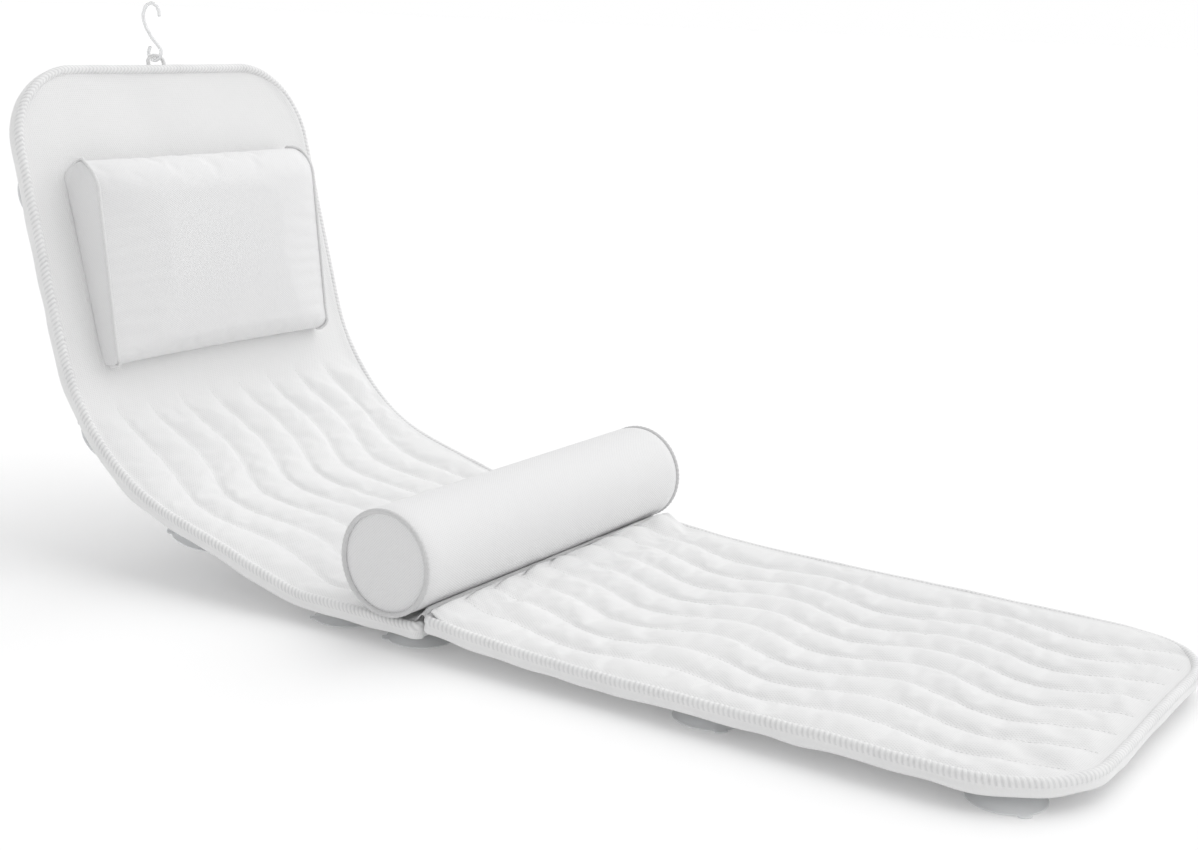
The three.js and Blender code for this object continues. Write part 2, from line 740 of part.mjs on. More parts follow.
add('bolster_loop_strip', stripOn(
  backPanel, bolsterFromFold - stripWidth / 2, bolsterFromFold + stripWidth / 2, bolsterStripLength / 2,
  smoothHeight + seatGap, stripThickness,
), gripStrip);
for (const [name, geometry, look] of [
  ['bolster_sleeve', bolsterSleeveGeometry(), meshCloth],
  ['bolster_core', bolsterCoreGeometry(), filling],
  ['bolster_end_near', bolsterEndGeometry(-1), meshCloth],
  ['bolster_end_far', bolsterEndGeometry(1), meshCloth],
  ['bolster_piping_near', bolsterPipingGeometry(-1), tape],
  ['bolster_piping_far', bolsterPipingGeometry(1), tape],
  ['bolster_hook_strip', bolsterStripGeometry(), gripStrip],
]) {
  add(name, geometry, look).position.copy(bolsterPlace);
}

add('hanging_loop', hangingLoopGeometry(), tape);
const eyeDrop = loopCordRadius + hookWireRadius + seatGap;
add('hanging_hook', hookGeometry(), hookPlastic).position
  .copy(loopTop).addScaledVector(new THREE.Vector3(0, 0, 1), -eyeDrop);

// The origin is at the middle of the whole object's base
const reach = new THREE.Box3().setFromObject(bathPillow, true);
const middle = reach.getCenter(new THREE.Vector3());
bathPillow.position.set(-middle.x, -middle.y, -reach.min.z);

export default bathPillow;
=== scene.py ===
"""Looks of a full length bath pillow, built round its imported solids. Everything is in metres."""

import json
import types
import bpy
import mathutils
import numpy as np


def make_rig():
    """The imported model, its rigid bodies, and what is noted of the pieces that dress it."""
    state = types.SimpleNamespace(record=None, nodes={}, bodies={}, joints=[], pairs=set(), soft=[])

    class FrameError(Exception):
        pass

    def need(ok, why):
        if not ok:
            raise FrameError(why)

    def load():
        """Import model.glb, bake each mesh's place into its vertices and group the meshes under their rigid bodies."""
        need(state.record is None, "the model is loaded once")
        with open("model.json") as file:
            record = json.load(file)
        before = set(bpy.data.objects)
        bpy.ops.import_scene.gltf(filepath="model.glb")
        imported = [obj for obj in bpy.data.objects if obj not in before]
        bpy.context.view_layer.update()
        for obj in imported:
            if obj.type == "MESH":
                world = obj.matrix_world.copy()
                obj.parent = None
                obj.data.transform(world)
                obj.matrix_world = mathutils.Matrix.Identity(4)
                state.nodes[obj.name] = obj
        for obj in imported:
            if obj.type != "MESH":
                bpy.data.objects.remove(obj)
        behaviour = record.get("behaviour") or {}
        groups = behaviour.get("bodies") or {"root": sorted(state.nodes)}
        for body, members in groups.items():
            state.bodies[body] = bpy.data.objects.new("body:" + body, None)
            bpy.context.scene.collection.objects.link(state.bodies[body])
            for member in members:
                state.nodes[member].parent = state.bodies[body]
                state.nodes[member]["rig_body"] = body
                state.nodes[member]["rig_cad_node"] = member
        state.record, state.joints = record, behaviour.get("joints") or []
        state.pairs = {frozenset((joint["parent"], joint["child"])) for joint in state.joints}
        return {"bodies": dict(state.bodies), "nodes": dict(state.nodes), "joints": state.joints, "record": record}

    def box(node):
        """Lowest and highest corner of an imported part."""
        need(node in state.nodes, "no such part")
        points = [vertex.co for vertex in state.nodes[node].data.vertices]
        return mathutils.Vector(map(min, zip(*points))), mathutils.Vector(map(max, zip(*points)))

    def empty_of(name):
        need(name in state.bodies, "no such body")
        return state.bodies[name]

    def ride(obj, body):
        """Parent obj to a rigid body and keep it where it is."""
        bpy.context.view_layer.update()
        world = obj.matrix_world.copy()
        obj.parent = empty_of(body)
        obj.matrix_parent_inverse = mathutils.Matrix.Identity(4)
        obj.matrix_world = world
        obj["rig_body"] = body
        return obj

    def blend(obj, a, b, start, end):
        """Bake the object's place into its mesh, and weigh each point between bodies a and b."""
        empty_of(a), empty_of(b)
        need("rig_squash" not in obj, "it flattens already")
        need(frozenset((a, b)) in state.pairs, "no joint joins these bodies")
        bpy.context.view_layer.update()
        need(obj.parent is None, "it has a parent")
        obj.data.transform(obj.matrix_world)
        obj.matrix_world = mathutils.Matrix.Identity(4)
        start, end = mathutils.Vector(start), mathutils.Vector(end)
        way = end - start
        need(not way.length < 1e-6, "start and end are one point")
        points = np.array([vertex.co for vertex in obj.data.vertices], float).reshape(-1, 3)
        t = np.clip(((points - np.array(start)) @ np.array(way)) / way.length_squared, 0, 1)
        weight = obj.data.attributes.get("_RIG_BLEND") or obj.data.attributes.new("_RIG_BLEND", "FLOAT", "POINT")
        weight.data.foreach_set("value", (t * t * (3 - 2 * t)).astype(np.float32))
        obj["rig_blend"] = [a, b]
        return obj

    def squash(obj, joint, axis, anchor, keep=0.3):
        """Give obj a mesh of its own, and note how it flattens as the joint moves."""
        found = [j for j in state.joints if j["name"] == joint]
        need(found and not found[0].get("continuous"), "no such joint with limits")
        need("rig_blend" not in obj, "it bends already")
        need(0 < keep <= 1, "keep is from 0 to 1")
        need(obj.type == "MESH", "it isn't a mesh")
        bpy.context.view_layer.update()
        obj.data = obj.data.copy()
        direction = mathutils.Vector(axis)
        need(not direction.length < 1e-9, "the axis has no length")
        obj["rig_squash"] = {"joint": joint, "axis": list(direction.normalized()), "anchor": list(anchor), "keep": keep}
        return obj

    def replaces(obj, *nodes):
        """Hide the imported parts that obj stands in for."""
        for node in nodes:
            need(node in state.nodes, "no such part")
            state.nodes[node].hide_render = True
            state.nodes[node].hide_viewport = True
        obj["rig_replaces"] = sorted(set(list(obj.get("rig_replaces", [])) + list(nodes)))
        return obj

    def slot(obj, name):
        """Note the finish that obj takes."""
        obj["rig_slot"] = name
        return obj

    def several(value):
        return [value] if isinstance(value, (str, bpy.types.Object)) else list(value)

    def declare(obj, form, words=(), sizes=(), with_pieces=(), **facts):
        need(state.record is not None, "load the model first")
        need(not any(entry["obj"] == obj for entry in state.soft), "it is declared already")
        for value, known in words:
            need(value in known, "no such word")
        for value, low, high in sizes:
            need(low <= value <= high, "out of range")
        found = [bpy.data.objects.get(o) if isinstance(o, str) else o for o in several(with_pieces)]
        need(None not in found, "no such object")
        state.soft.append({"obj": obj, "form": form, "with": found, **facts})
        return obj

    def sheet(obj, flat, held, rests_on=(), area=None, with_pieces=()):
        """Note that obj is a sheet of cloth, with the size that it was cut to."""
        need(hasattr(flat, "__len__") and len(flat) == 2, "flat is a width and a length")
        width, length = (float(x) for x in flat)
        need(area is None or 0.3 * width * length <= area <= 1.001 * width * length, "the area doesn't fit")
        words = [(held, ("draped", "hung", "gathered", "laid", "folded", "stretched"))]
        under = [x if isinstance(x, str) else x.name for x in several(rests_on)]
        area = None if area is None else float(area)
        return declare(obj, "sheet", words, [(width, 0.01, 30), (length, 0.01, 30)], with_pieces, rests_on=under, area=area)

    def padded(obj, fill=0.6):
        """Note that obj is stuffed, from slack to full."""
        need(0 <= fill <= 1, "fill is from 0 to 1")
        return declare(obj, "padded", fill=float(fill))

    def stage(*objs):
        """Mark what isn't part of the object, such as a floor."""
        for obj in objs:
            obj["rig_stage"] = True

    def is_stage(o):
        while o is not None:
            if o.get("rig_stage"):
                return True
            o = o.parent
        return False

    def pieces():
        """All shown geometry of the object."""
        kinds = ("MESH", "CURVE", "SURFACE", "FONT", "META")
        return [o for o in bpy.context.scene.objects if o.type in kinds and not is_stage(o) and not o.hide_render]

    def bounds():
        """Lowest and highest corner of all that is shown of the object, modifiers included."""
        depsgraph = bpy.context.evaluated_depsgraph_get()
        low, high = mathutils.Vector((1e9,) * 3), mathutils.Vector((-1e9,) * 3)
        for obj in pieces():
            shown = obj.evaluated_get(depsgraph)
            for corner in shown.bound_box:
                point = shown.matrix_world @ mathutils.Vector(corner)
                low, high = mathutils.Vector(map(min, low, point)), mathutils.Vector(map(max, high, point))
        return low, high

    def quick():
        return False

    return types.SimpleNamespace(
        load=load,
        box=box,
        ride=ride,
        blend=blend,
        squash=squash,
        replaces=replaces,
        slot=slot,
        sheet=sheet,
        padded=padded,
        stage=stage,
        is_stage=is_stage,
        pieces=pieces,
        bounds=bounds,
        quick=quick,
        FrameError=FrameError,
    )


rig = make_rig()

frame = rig.load()

import json
import math

import bpy
import numpy as np
from mathutils import Matrix, Vector

cad_low, cad_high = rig.bounds()
rng = np.random.default_rng(11)

# Camera, placed from the fold

FOLD_GAP = 0.00015
FOLD_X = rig.box("leg_binding")[0].x - FOLD_GAP

camera_data = bpy.data.cameras.new("camera")
camera_data.sensor_fit = "HORIZONTAL"
camera_data.sensor_width = 36
camera_data.lens = 53.52
camera_data.clip_start = 0.05
camera_data.clip_end = 200
camera = bpy.data.objects.new("camera", camera_data)
bpy.context.scene.collection.objects.link(camera)
view_right = Vector((0.8368, 0.5464, 0.0367)).normalized()
view_up = Vector((-0.1537, 0.1699, 0.9734)).normalized()
view_back = view_right.cross(view_up).normalized()
view_up = view_back.cross(view_right).normalized()
turn = Matrix((view_right, view_up, view_back)).transposed()
camera.matrix_world = Matrix.Translation((FOLD_X + 0.8436, -1.2498, 0.5090)) @ turn.to_4x4()
bpy.context.scene.camera = camera

# Sizes, as in the solids

PANEL_WIDTH = 0.380
LEG_LENGTH = 0.537
LEG_END_BEND = math.radians(5)
LEG_RUNS = [(0.180, LEG_END_BEND), (LEG_LENGTH - 0.180, 0)]
LEG_END_RISE = 0.180 / LEG_END_BEND * (1 - math.cos(LEG_END_BEND))
BACK_RUNS = [(0.118, 0), (0.030, math.radians(15)), (0.140, 0), (0.215, math.radians(60)), (0.251, 0)]
BACK_LENGTH = sum(run[0] for run in BACK_RUNS)
HEAD_CORNER = 0.080
FOOT_CORNER = 0.088
CUP_HEIGHT = 0.012
BACKING = 0.0024
VALLEY = 0.0095
PUFF = 0.005
SMOOTH = 0.0120
BINDING_WIDTH = 0.009
BINDING_HEIGHT = 0.015
CHANNELS = 9
WAVE_LENGTH = 0.160
WAVE_HEIGHT = 0.011
FOLD_SMOOTH = 0.072
HEAD_SMOOTH_START = 0.447
QUILT_FADE = 0.034
EDGE_INSET = 0.0093

HEADREST_HALF = 0.142
HEADREST_LOW = 0.469
HEADREST_HIGH = 0.664
HEADREST_BASE = 0.0149

sleeve_low, sleeve_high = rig.box("bolster_sleeve")
BOLSTER_PLACE = (sleeve_low + sleeve_high) / 2
BOLSTER_RADIUS = 0.0456
BOLSTER_HALF = 0.192


# Panels

class Panel:
    def __init__(self, towards, runs, corner, rise=0.0, angle=0.0):
        self.towards = towards
        self.start_height = CUP_HEIGHT + rise
        self.start_angle = angle
        self.runs = runs
        self.corner = corner
        self.length = sum(run[0] for run in runs)
        self.corner_start = self.length - corner

    def line(self, along):
        along = np.asarray(along, float)
        x = np.zeros_like(along)
        z = np.full_like(along, self.start_height)
        angle = np.full_like(along, self.start_angle)
        left = along.copy()
        for index, (length, bend) in enumerate(self.runs):
            step = left.copy() if index == len(self.runs) - 1 else np.minimum(left, length)
            turned = bend * step / length
            if bend == 0:
                x += self.towards * step * np.cos(angle)
                z += step * np.sin(angle)
            else:
                radius = length / bend
                x += self.towards * radius * (np.sin(angle + turned) - np.sin(angle))
                z += radius * (np.cos(angle) - np.cos(angle + turned))
            angle = angle + turned
            left = left - step
        return x, z, angle

    def at(self, along, across, height):
        along, across, height = np.broadcast_arrays(*(np.asarray(v, float) for v in (along, across, height)))
        x, z, angle = self.line(along)
        return np.stack([
            FOLD_X + x - self.towards * np.sin(angle) * height, across, z + np.cos(angle) * height,
        ], -1)

    def up(self, along):
        _, _, angle = self.line(along)
        return np.stack([-self.towards * np.sin(angle), np.zeros_like(angle), np.cos(angle)], -1)

    def half_width(self, along, inset):
        full = PANEL_WIDTH / 2 - inset
        radius = self.corner - inset
        past = np.clip(np.asarray(along, float) - self.corner_start, 0, radius)
        return full - radius + np.sqrt(np.maximum(radius * radius - past * past, 0))

    def stations(self, inset, spacing, corner_steps, start=None):
        start = inset + FOLD_GAP if start is None else start
        count = round((self.corner_start - start) / spacing)
        straight = np.linspace(start, self.corner_start, count + 1)
        radius = self.corner - inset
        bends = self.corner_start + radius * np.sin(np.pi / 2 * np.arange(1, corner_steps + 1) / corner_steps)
        return np.concatenate([straight, bends])


leg = Panel(1, LEG_RUNS, FOOT_CORNER, LEG_END_RISE, -LEG_END_BEND)
back = Panel(-1, BACK_RUNS, HEAD_CORNER)


def smooth(value):
    value = np.clip(value, 0, 1)
    return value * value * (3 - 2 * value)


def ripple(u, v, scale, seed, terms=14):
    """Seeded smooth unevenness between about -1 and 1 over a surface."""
    made = np.random.default_rng(seed)
    total = np.zeros(np.broadcast(u, v).shape)
    for _ in range(terms):
        heading = made.uniform(0, 2 * math.pi)
        length = scale * made.uniform(0.6, 1.7)
        phase = made.uniform(0, 2 * math.pi)
        total = total + np.sin(2 * math.pi / length * (u * math.cos(heading) + v * math.sin(heading)) + phase)
    return total / math.sqrt(terms / 2) / 1.6


# Meshes

def make_mesh(name, points, faces, corner_uv=None, smooth_faces=True):
    mesh = bpy.data.meshes.new(name)
    mesh.from_pydata([tuple(p) for p in np.asarray(points, float)], [], [tuple(int(i) for i in f) for f in faces])
    if corner_uv is not None:
        layer = mesh.uv_layers.new(name="weave")
        layer.data.foreach_set("uv", np.asarray(corner_uv, np.float32).ravel())
    mesh.polygons.foreach_set("use_smooth", np.full(len(mesh.polygons), smooth_faces))
    mesh.update()
    return mesh


def add_object(name, mesh, material=None):
    obj = bpy.data.objects.new(name, mesh)
    bpy.context.scene.collection.objects.link(obj)
    if material is not None:
        mesh.materials.clear()
        mesh.materials.append(material)
    return obj


def grid_faces(rows, columns, wrap=False, start=0):
    r = np.arange(rows - 1)[:, None]
    c = np.arange(columns if wrap else columns - 1)[None, :]
    here = r * columns + c
    beside = r * columns + (c + 1) % columns
    return (np.stack([here, here + columns, beside + columns, beside], -1) + start).reshape(-1, 4)


def corner_grid_uv(u, v, wrap_u=None):
    """Corner coordinates of a grid's faces from each point's; wrap_u closes the columns with that step."""
    if wrap_u is not None:
        u = np.concatenate([u, u[:, :1] + wrap_u], 1)
        v = np.concatenate([v, v[:, :1]], 1)
    pairs = np.stack([u, v], -1)
    return np.stack([pairs[:-1, :-1], pairs[1:, :-1], pairs[1:, 1:], pairs[:-1, 1:]], 2).reshape(-1, 2)


def tube_mesh(name, rings, uv_length, uv_round, closed_path=False, capped=True):
    """A skin over rings of points: rings is (count, sides, 3)."""
    count, sides, _ = rings.shape
    if closed_path:
        rings = np.concatenate([rings, rings[:1]], 0)
        uv_length = np.append(uv_length, uv_length[-1] + (uv_length[1] - uv_length[0]))
    u = np.broadcast_to(np.arange(sides) / sides * uv_round, (len(rings), sides))
    v = np.broadcast_to(np.asarray(uv_length)[:, None], (len(rings), sides))
    uv = corner_grid_uv(u, v, wrap_u=uv_round)
    faces = grid_faces(len(rings), sides, wrap=True)
    if closed_path:
        faces = np.where(faces >= count * sides, faces - count * sides, faces)
        rings = rings[:-1]
    faces = [tuple(f) for f in faces]
    if not closed_path and capped:
        faces.append(tuple(range(sides)))
        faces.append(tuple((count - 1) * sides + np.arange(sides)[::-1]))
        uv = np.concatenate([uv, np.zeros((2 * sides, 2))])
    return make_mesh(name, rings.reshape(-1, 3), faces, uv)


def fix_normals(mesh):
    import bmesh
    work = bmesh.new()
    work.from_mesh(mesh)
    bmesh.ops.recalc_face_normals(work, faces=work.faces)
    work.to_mesh(mesh)
    work.free()


def path_frames(points, side):
    """Directions across and out along a path, with the side direction given at each point."""
    ahead = np.gradient(points, axis=0)
    ahead /= np.linalg.norm(ahead, axis=1, keepdims=True)
    out = np.cross(ahead, side)
    out /= np.linalg.norm(out, axis=1, keepdims=True)
    over = np.cross(out, ahead)
    return over, out


def length_along(points):
    return np.concatenate([[0], np.cumsum(np.linalg.norm(np.diff(points, axis=0), axis=1))])


def catmull(points, count):
    points = np.array(points, float)
    points = np.concatenate([[2 * points[0] - points[1]], points, [2 * points[-1] - points[-2]]])
    out = []
    for i in range(1, len(points) - 2):
        p0, p1, p2, p3 = points[i - 1: i + 3]
        knots = [0.0]
        for a, b in ((p0, p1), (p1, p2), (p2, p3)):
            knots.append(knots[-1] + max(np.linalg.norm(b - a), 1e-6) ** 0.5)
        t0, t1, t2, t3 = knots
        for t in np.linspace(t1, t2, count, endpoint=False):
            a1 = (t1 - t) / (t1 - t0) * p0 + (t - t0) / (t1 - t0) * p1
            a2 = (t2 - t) / (t2 - t1) * p1 + (t - t1) / (t2 - t1) * p2
            a3 = (t3 - t) / (t3 - t2) * p2 + (t - t2) / (t3 - t2) * p3
            b1 = (t2 - t) / (t2 - t0) * a1 + (t - t0) / (t2 - t0) * a2
            b2 = (t3 - t) / (t3 - t1) * a2 + (t - t1) / (t3 - t1) * a3
            out.append((t2 - t) / (t2 - t1) * b1 + (t - t1) / (t2 - t1) * b2)
    out.append(points[-2])
    return np.array(out)


def resample(points, spacing):
    """Evenly spaced points on a polyline."""
    run = length_along(points)
    count = max(2, round(run[-1] / spacing) + 1)
    wanted = np.linspace(0, run[-1], count)
    return np.stack([np.interp(wanted, run, points[:, k]) for k in range(points.shape[1])], -1)


# Materials

class Nodes:
    def __init__(self, name):
        self.material = bpy.data.materials.new(name)
        self.material.use_nodes = True
        self.tree = self.material.node_tree
        self.shader = self.tree.nodes["Principled BSDF"]

    def add(self, kind, **values):
        node = self.tree.nodes.new(kind)
        for key, value in values.items():
            setattr(node, key, value)
        return node

    def link(self, source, target):
        self.tree.links.new(source, target)

    def math(self, operation, a, b=None):
        node = self.add("ShaderNodeMath", operation=operation)
        for socket, value in zip(node.inputs, (a, b)):
            if value is None:
                continue
            if isinstance(value, (int, float)):
                socket.default_value = value
            else:
                self.link(value, socket)
        return node.outputs[0]

    def place(self):
        return self.add("ShaderNodeTexCoord").outputs["Object"]

    def weave(self):
        node = self.add("ShaderNodeUVMap", uv_map="weave")
        split = self.add("ShaderNodeSeparateXYZ")
        self.link(node.outputs[0], split.inputs[0])
        return split.outputs[0], split.outputs[1]

    def noise(self, scale, detail=2.0, roughness=0.5):
        node = self.add("ShaderNodeTexNoise")
        node.inputs["Scale"].default_value = scale
        node.inputs["Detail"].default_value = detail
        node.inputs["Roughness"].default_value = roughness
        self.link(self.place(), node.inputs["Vector"])
        return node.outputs["Fac"]

    def ramp(self, source, stops):
        node = self.add("ShaderNodeValToRGB")
        while len(node.color_ramp.elements) < len(stops):
            node.color_ramp.elements.new(0.5)
        for element, (place, colour) in zip(node.color_ramp.elements, stops):
            element.position = place
            element.color = (*colour, 1)
        self.link(source, node.inputs[0])
        return node.outputs[0]

    def multiply_colours(self, a, b, share=1.0):
        node = self.add("ShaderNodeMix", data_type="RGBA", blend_type="MULTIPLY")
        node.inputs[0].default_value = share
        self.link(a, node.inputs[6])
        self.link(b, node.inputs[7])
        return node.outputs[2]

    def bump(self, height, distance, strength=1.0, after=None):
        node = self.add("ShaderNodeBump")
        node.inputs["Distance"].default_value = distance
        node.inputs["Strength"].default_value = strength
        self.link(height, node.inputs["Height"])
        if after is not None:
            self.link(after, node.inputs["Normal"])
        return node.outputs[0]

    def set(self, **values):
        for key, value in values.items():
            self.shader.inputs[key.replace("_", " ")].default_value = value


def lattice(nodes, across, along):
    """Openings in staggered rows, from -1 between them to 1 in their middles."""
    u, v = nodes.weave()
    wave_u = nodes.math("COSINE", nodes.math("MULTIPLY", u, 2 * math.pi / across))
    wave_v = nodes.math("COSINE", nodes.math("MULTIPLY", v, 2 * math.pi / along))
    return nodes.math("MULTIPLY", wave_u, wave_v)


def mesh_cloth(name, light, shade, across, along, depth, uneven=0.6):
    """Open knitted air mesh: small staggered openings painted darker as shade, fine yarn and slight unevenness."""
    nodes = Nodes(name)
    holes = lattice(nodes, across, along)
    open_share = nodes.math("SMOOTH_MAX", holes, 0.0)
    open_share.node.inputs[2].default_value = 0.25
    # Painted shade: the openings take the darker colour.
    base = nodes.ramp(open_share, [(0.15, light), (0.85, shade)])
    cloud = nodes.ramp(nodes.noise(7.0, 3.0), [(0.3, (0.965, 0.965, 0.97)), (0.7, (1, 1, 1))])
    colour = nodes.multiply_colours(base, cloud, uneven)
    nodes.link(colour, nodes.shader.inputs["Base Color"])
    yarn = nodes.noise(1400.0, 2.0)
    first = nodes.bump(open_share, -depth, 1.0)
    second = nodes.bump(yarn, 0.00006, 0.8, after=first)
    nodes.link(second, nodes.shader.inputs["Normal"])
    rough = nodes.add("ShaderNodeMapRange")
    rough.inputs["To Min"].default_value = 0.78
    rough.inputs["To Max"].default_value = 0.92
    nodes.link(nodes.noise(60.0, 2.0), rough.inputs["Value"])
    nodes.link(rough.outputs[0], nodes.shader.inputs["Roughness"])
    nodes.set(Sheen_Weight=0.25, Sheen_Roughness=0.45, Specular_IOR_Level=0.25)
    return nodes.material


def tape_cloth(name, light, shade, rib, slant, depth):
    """Woven edge tape: fine slanted ribs over its length, with single threads across, their grooves painted darker as
    shade.
    """
    nodes = Nodes(name)
    u, v = nodes.weave()
    line = nodes.math("ADD", nodes.math("MULTIPLY", v, 2 * math.pi / rib), nodes.math("MULTIPLY", u, slant * 2 * math.pi / rib))
    ribs = nodes.math("SINE", line)
    threads = nodes.math("SINE", nodes.math("MULTIPLY", u, 2 * math.pi / 0.0007))
    both = nodes.math("ADD", ribs, nodes.math("MULTIPLY", threads, 0.35))
    # Painted shade: the ribs' grooves take the darker colour.
    base = nodes.ramp(nodes.math("MULTIPLY_ADD", both, 0.37), [(0.0, shade), (0.75, light)])
    base.node.inputs[0].links[0].from_node.inputs[2].default_value = 0.5
    cloud = nodes.ramp(nodes.noise(30.0, 3.0), [(0.3, (0.955, 0.955, 0.96)), (0.7, (1, 1, 1))])
    nodes.link(nodes.multiply_colours(base, cloud, 0.8), nodes.shader.inputs["Base Color"])
    first = nodes.bump(both, depth, 0.8)
    second = nodes.bump(nodes.noise(2200.0, 2.0), 0.00005, 0.7, after=first)
    nodes.link(second, nodes.shader.inputs["Normal"])
    nodes.set(Roughness=0.72, Sheen_Weight=0.15, Sheen_Roughness=0.4, Specular_IOR_Level=0.3)
    return nodes.material


def rope_cloth(name, light, shade, zigzag):
    """The rolled edge: a light cord bound by thread, with painted shade in the valley between its turns."""
    nodes = Nodes(name)
    u, v = nodes.weave()
    if zigzag:
        lean = nodes.math("MULTIPLY", nodes.math("ABSOLUTE", nodes.math("SUBTRACT", u, ROPE_TOP)), 3.2 * ROPE_TURN)
    else:
        lean = nodes.math("MULTIPLY", nodes.math("SUBTRACT", u, ROPE_START), 1.5 * ROPE_TURN)
    turn = nodes.math("COSINE", nodes.math("ADD", nodes.math("MULTIPLY", v, 2 * math.pi / ROPE_PITCH), lean))
    on_roll = nodes.math("LESS_THAN", u, ROPE_END)
    valley = nodes.math("MULTIPLY", nodes.math("MULTIPLY_ADD", turn, 0.5), on_roll)
    valley.node.inputs[0].links[0].from_node.inputs[2].default_value = 0.5
    # Painted shade: the valleys between the cord's turns are coloured darker, a little uneven.
    worn = nodes.math("MULTIPLY", valley, nodes.math("MULTIPLY_ADD", nodes.noise(90.0, 2.0), 0.9))
    worn.node.inputs[1].links[0].from_node.inputs[2].default_value = 0.5
    base = nodes.ramp(worn, [(0.25, light), (1.0, shade)])
    cloud = nodes.ramp(nodes.noise(30.0, 3.0), [(0.3, (0.955, 0.955, 0.96)), (0.7, (1, 1, 1))])
    nodes.link(nodes.multiply_colours(base, cloud, 0.8), nodes.shader.inputs["Base Color"])
    threads = nodes.math("SINE", nodes.math("ADD", nodes.math("MULTIPLY", v, 2 * math.pi / 0.0011), nodes.math("MULTIPLY", u, 1400.0)))
    first = nodes.bump(threads, 0.00008, 0.8)
    second = nodes.bump(nodes.noise(2200.0, 2.0), 0.00005, 0.7, after=first)
    nodes.link(second, nodes.shader.inputs["Normal"])
    nodes.set(Roughness=0.74, Sheen_Weight=0.15, Sheen_Roughness=0.4, Specular_IOR_Level=0.3)
    return nodes.material


# Where the rope's turns lie over a rolled edge's section: 22 points, of which 13 are the roll
ROPE_PITCH = 0.0042
ROPE_ROUND = 0.030
ROPE_FIRST = math.radians(-38)
ROPE_LAST = math.radians(205)
ROPE_TURN = (ROPE_LAST - ROPE_FIRST) / 12 * 22 / ROPE_ROUND
ROPE_START = -ROPE_FIRST / ROPE_TURN
ROPE_TOP = (math.pi / 2 - ROPE_FIRST) / ROPE_TURN
ROPE_END = 12.4 / 22 * ROPE_ROUND

WHITE = (0.815, 0.815, 0.812)
SHADE = (0.74, 0.74, 0.744)
cover_cloth = mesh_cloth("cover_air_mesh", WHITE, SHADE, 0.0024, 0.0036, 0.00013)
pillow_cloth = mesh_cloth("pillow_air_mesh", (0.80, 0.80, 0.80), (0.72, 0.72, 0.724), 0.0021, 0.0030, 0.00012)
end_cloth = mesh_cloth("end_air_mesh", (0.80, 0.80, 0.80), (0.68, 0.68, 0.69), 0.0025, 0.0025, 0.00016)
backing_cloth = mesh_cloth("backing_air_mesh", (0.84, 0.84, 0.84), (0.55, 0.55, 0.56), 0.0034, 0.0050, 0.00035)
leg_rope = rope_cloth("leg_rope_tape", (0.87, 0.87, 0.867), (0.75, 0.75, 0.75), False)
back_rope = rope_cloth("back_rope_tape", (0.87, 0.87, 0.867), (0.73, 0.73, 0.73), True)
piping_tape = tape_cloth("piping_tape", (0.86, 0.86, 0.857), (0.70, 0.70, 0.70), 0.0011, 0.8, 0.00008)
# The bolster's rim piping takes a darker tape than the others: painted shade along the discs' edges.
rim_tape = tape_cloth("rim_tape", (0.76, 0.76, 0.76), (0.50, 0.50, 0.50), 0.0011, 0.8, 0.00008)
fold_cloth = tape_cloth("fold_tape_cloth", (0.85, 0.85, 0.85), (0.72, 0.72, 0.72), 0.0010, 0.0, 0.00008)


def grip_cloth(name, scale, depth, shade):
    nodes = Nodes(name)
    cells = nodes.add("ShaderNodeTexVoronoi")
    cells.inputs["Scale"].default_value = scale
    nodes.link(nodes.place(), cells.inputs["Vector"])
    fuzz = nodes.noise(scale * 1.7, 4.0, 0.7)
    height = nodes.math("MULTIPLY", cells.outputs["Distance"], fuzz)
    # Painted shade: the fuzz's low places take the darker colour.
    colour = nodes.ramp(height, [(0.0, shade), (0.5, (0.86, 0.86, 0.85))])
    nodes.link(colour, nodes.shader.inputs["Base Color"])
    nodes.link(nodes.bump(height, depth, 1.0), nodes.shader.inputs["Normal"])
    nodes.set(Roughness=0.85, Sheen_Weight=0.3, Sheen_Roughness=0.6)
    return nodes.material


loop_cloth = grip_cloth("loop_strip_fuzz", 900.0, 0.0006, (0.70, 0.70, 0.69))
hook_cloth = grip_cloth("hook_strip_bristle", 700.0, 0.0008, (0.62, 0.62, 0.61))


def thread_look():
    nodes = Nodes("sewing_thread")
    fibre = nodes.noise(3000.0, 2.0)
    colour = nodes.ramp(fibre, [(0.3, (0.80, 0.80, 0.80)), (0.7, (0.90, 0.90, 0.90))])
    nodes.link(colour, nodes.shader.inputs["Base Color"])
    nodes.link(nodes.bump(fibre, 0.00005, 0.6), nodes.shader.inputs["Normal"])
    nodes.set(Roughness=0.5, Sheen_Weight=0.1)
    return nodes.material


def vinyl_look():
    nodes = Nodes("clear_vinyl")
    haze = nodes.noise(45.0, 3.0)
    rough = nodes.add("ShaderNodeMapRange")
    rough.inputs["To Min"].default_value = 0.10
    rough.inputs["To Max"].default_value = 0.26
    nodes.link(haze, rough.inputs["Value"])
    nodes.link(rough.outputs[0], nodes.shader.inputs["Roughness"])
    colour = nodes.ramp(haze, [(0.3, (0.94, 0.955, 0.965)), (0.7, (0.97, 0.98, 0.985))])
    nodes.link(colour, nodes.shader.inputs["Base Color"])
    nodes.link(nodes.bump(nodes.noise(220.0, 2.0), 0.00008, 0.5), nodes.shader.inputs["Normal"])
    nodes.set(Transmission_Weight=0.24, IOR=1.2, Specular_IOR_Level=0.5)
    return nodes.material


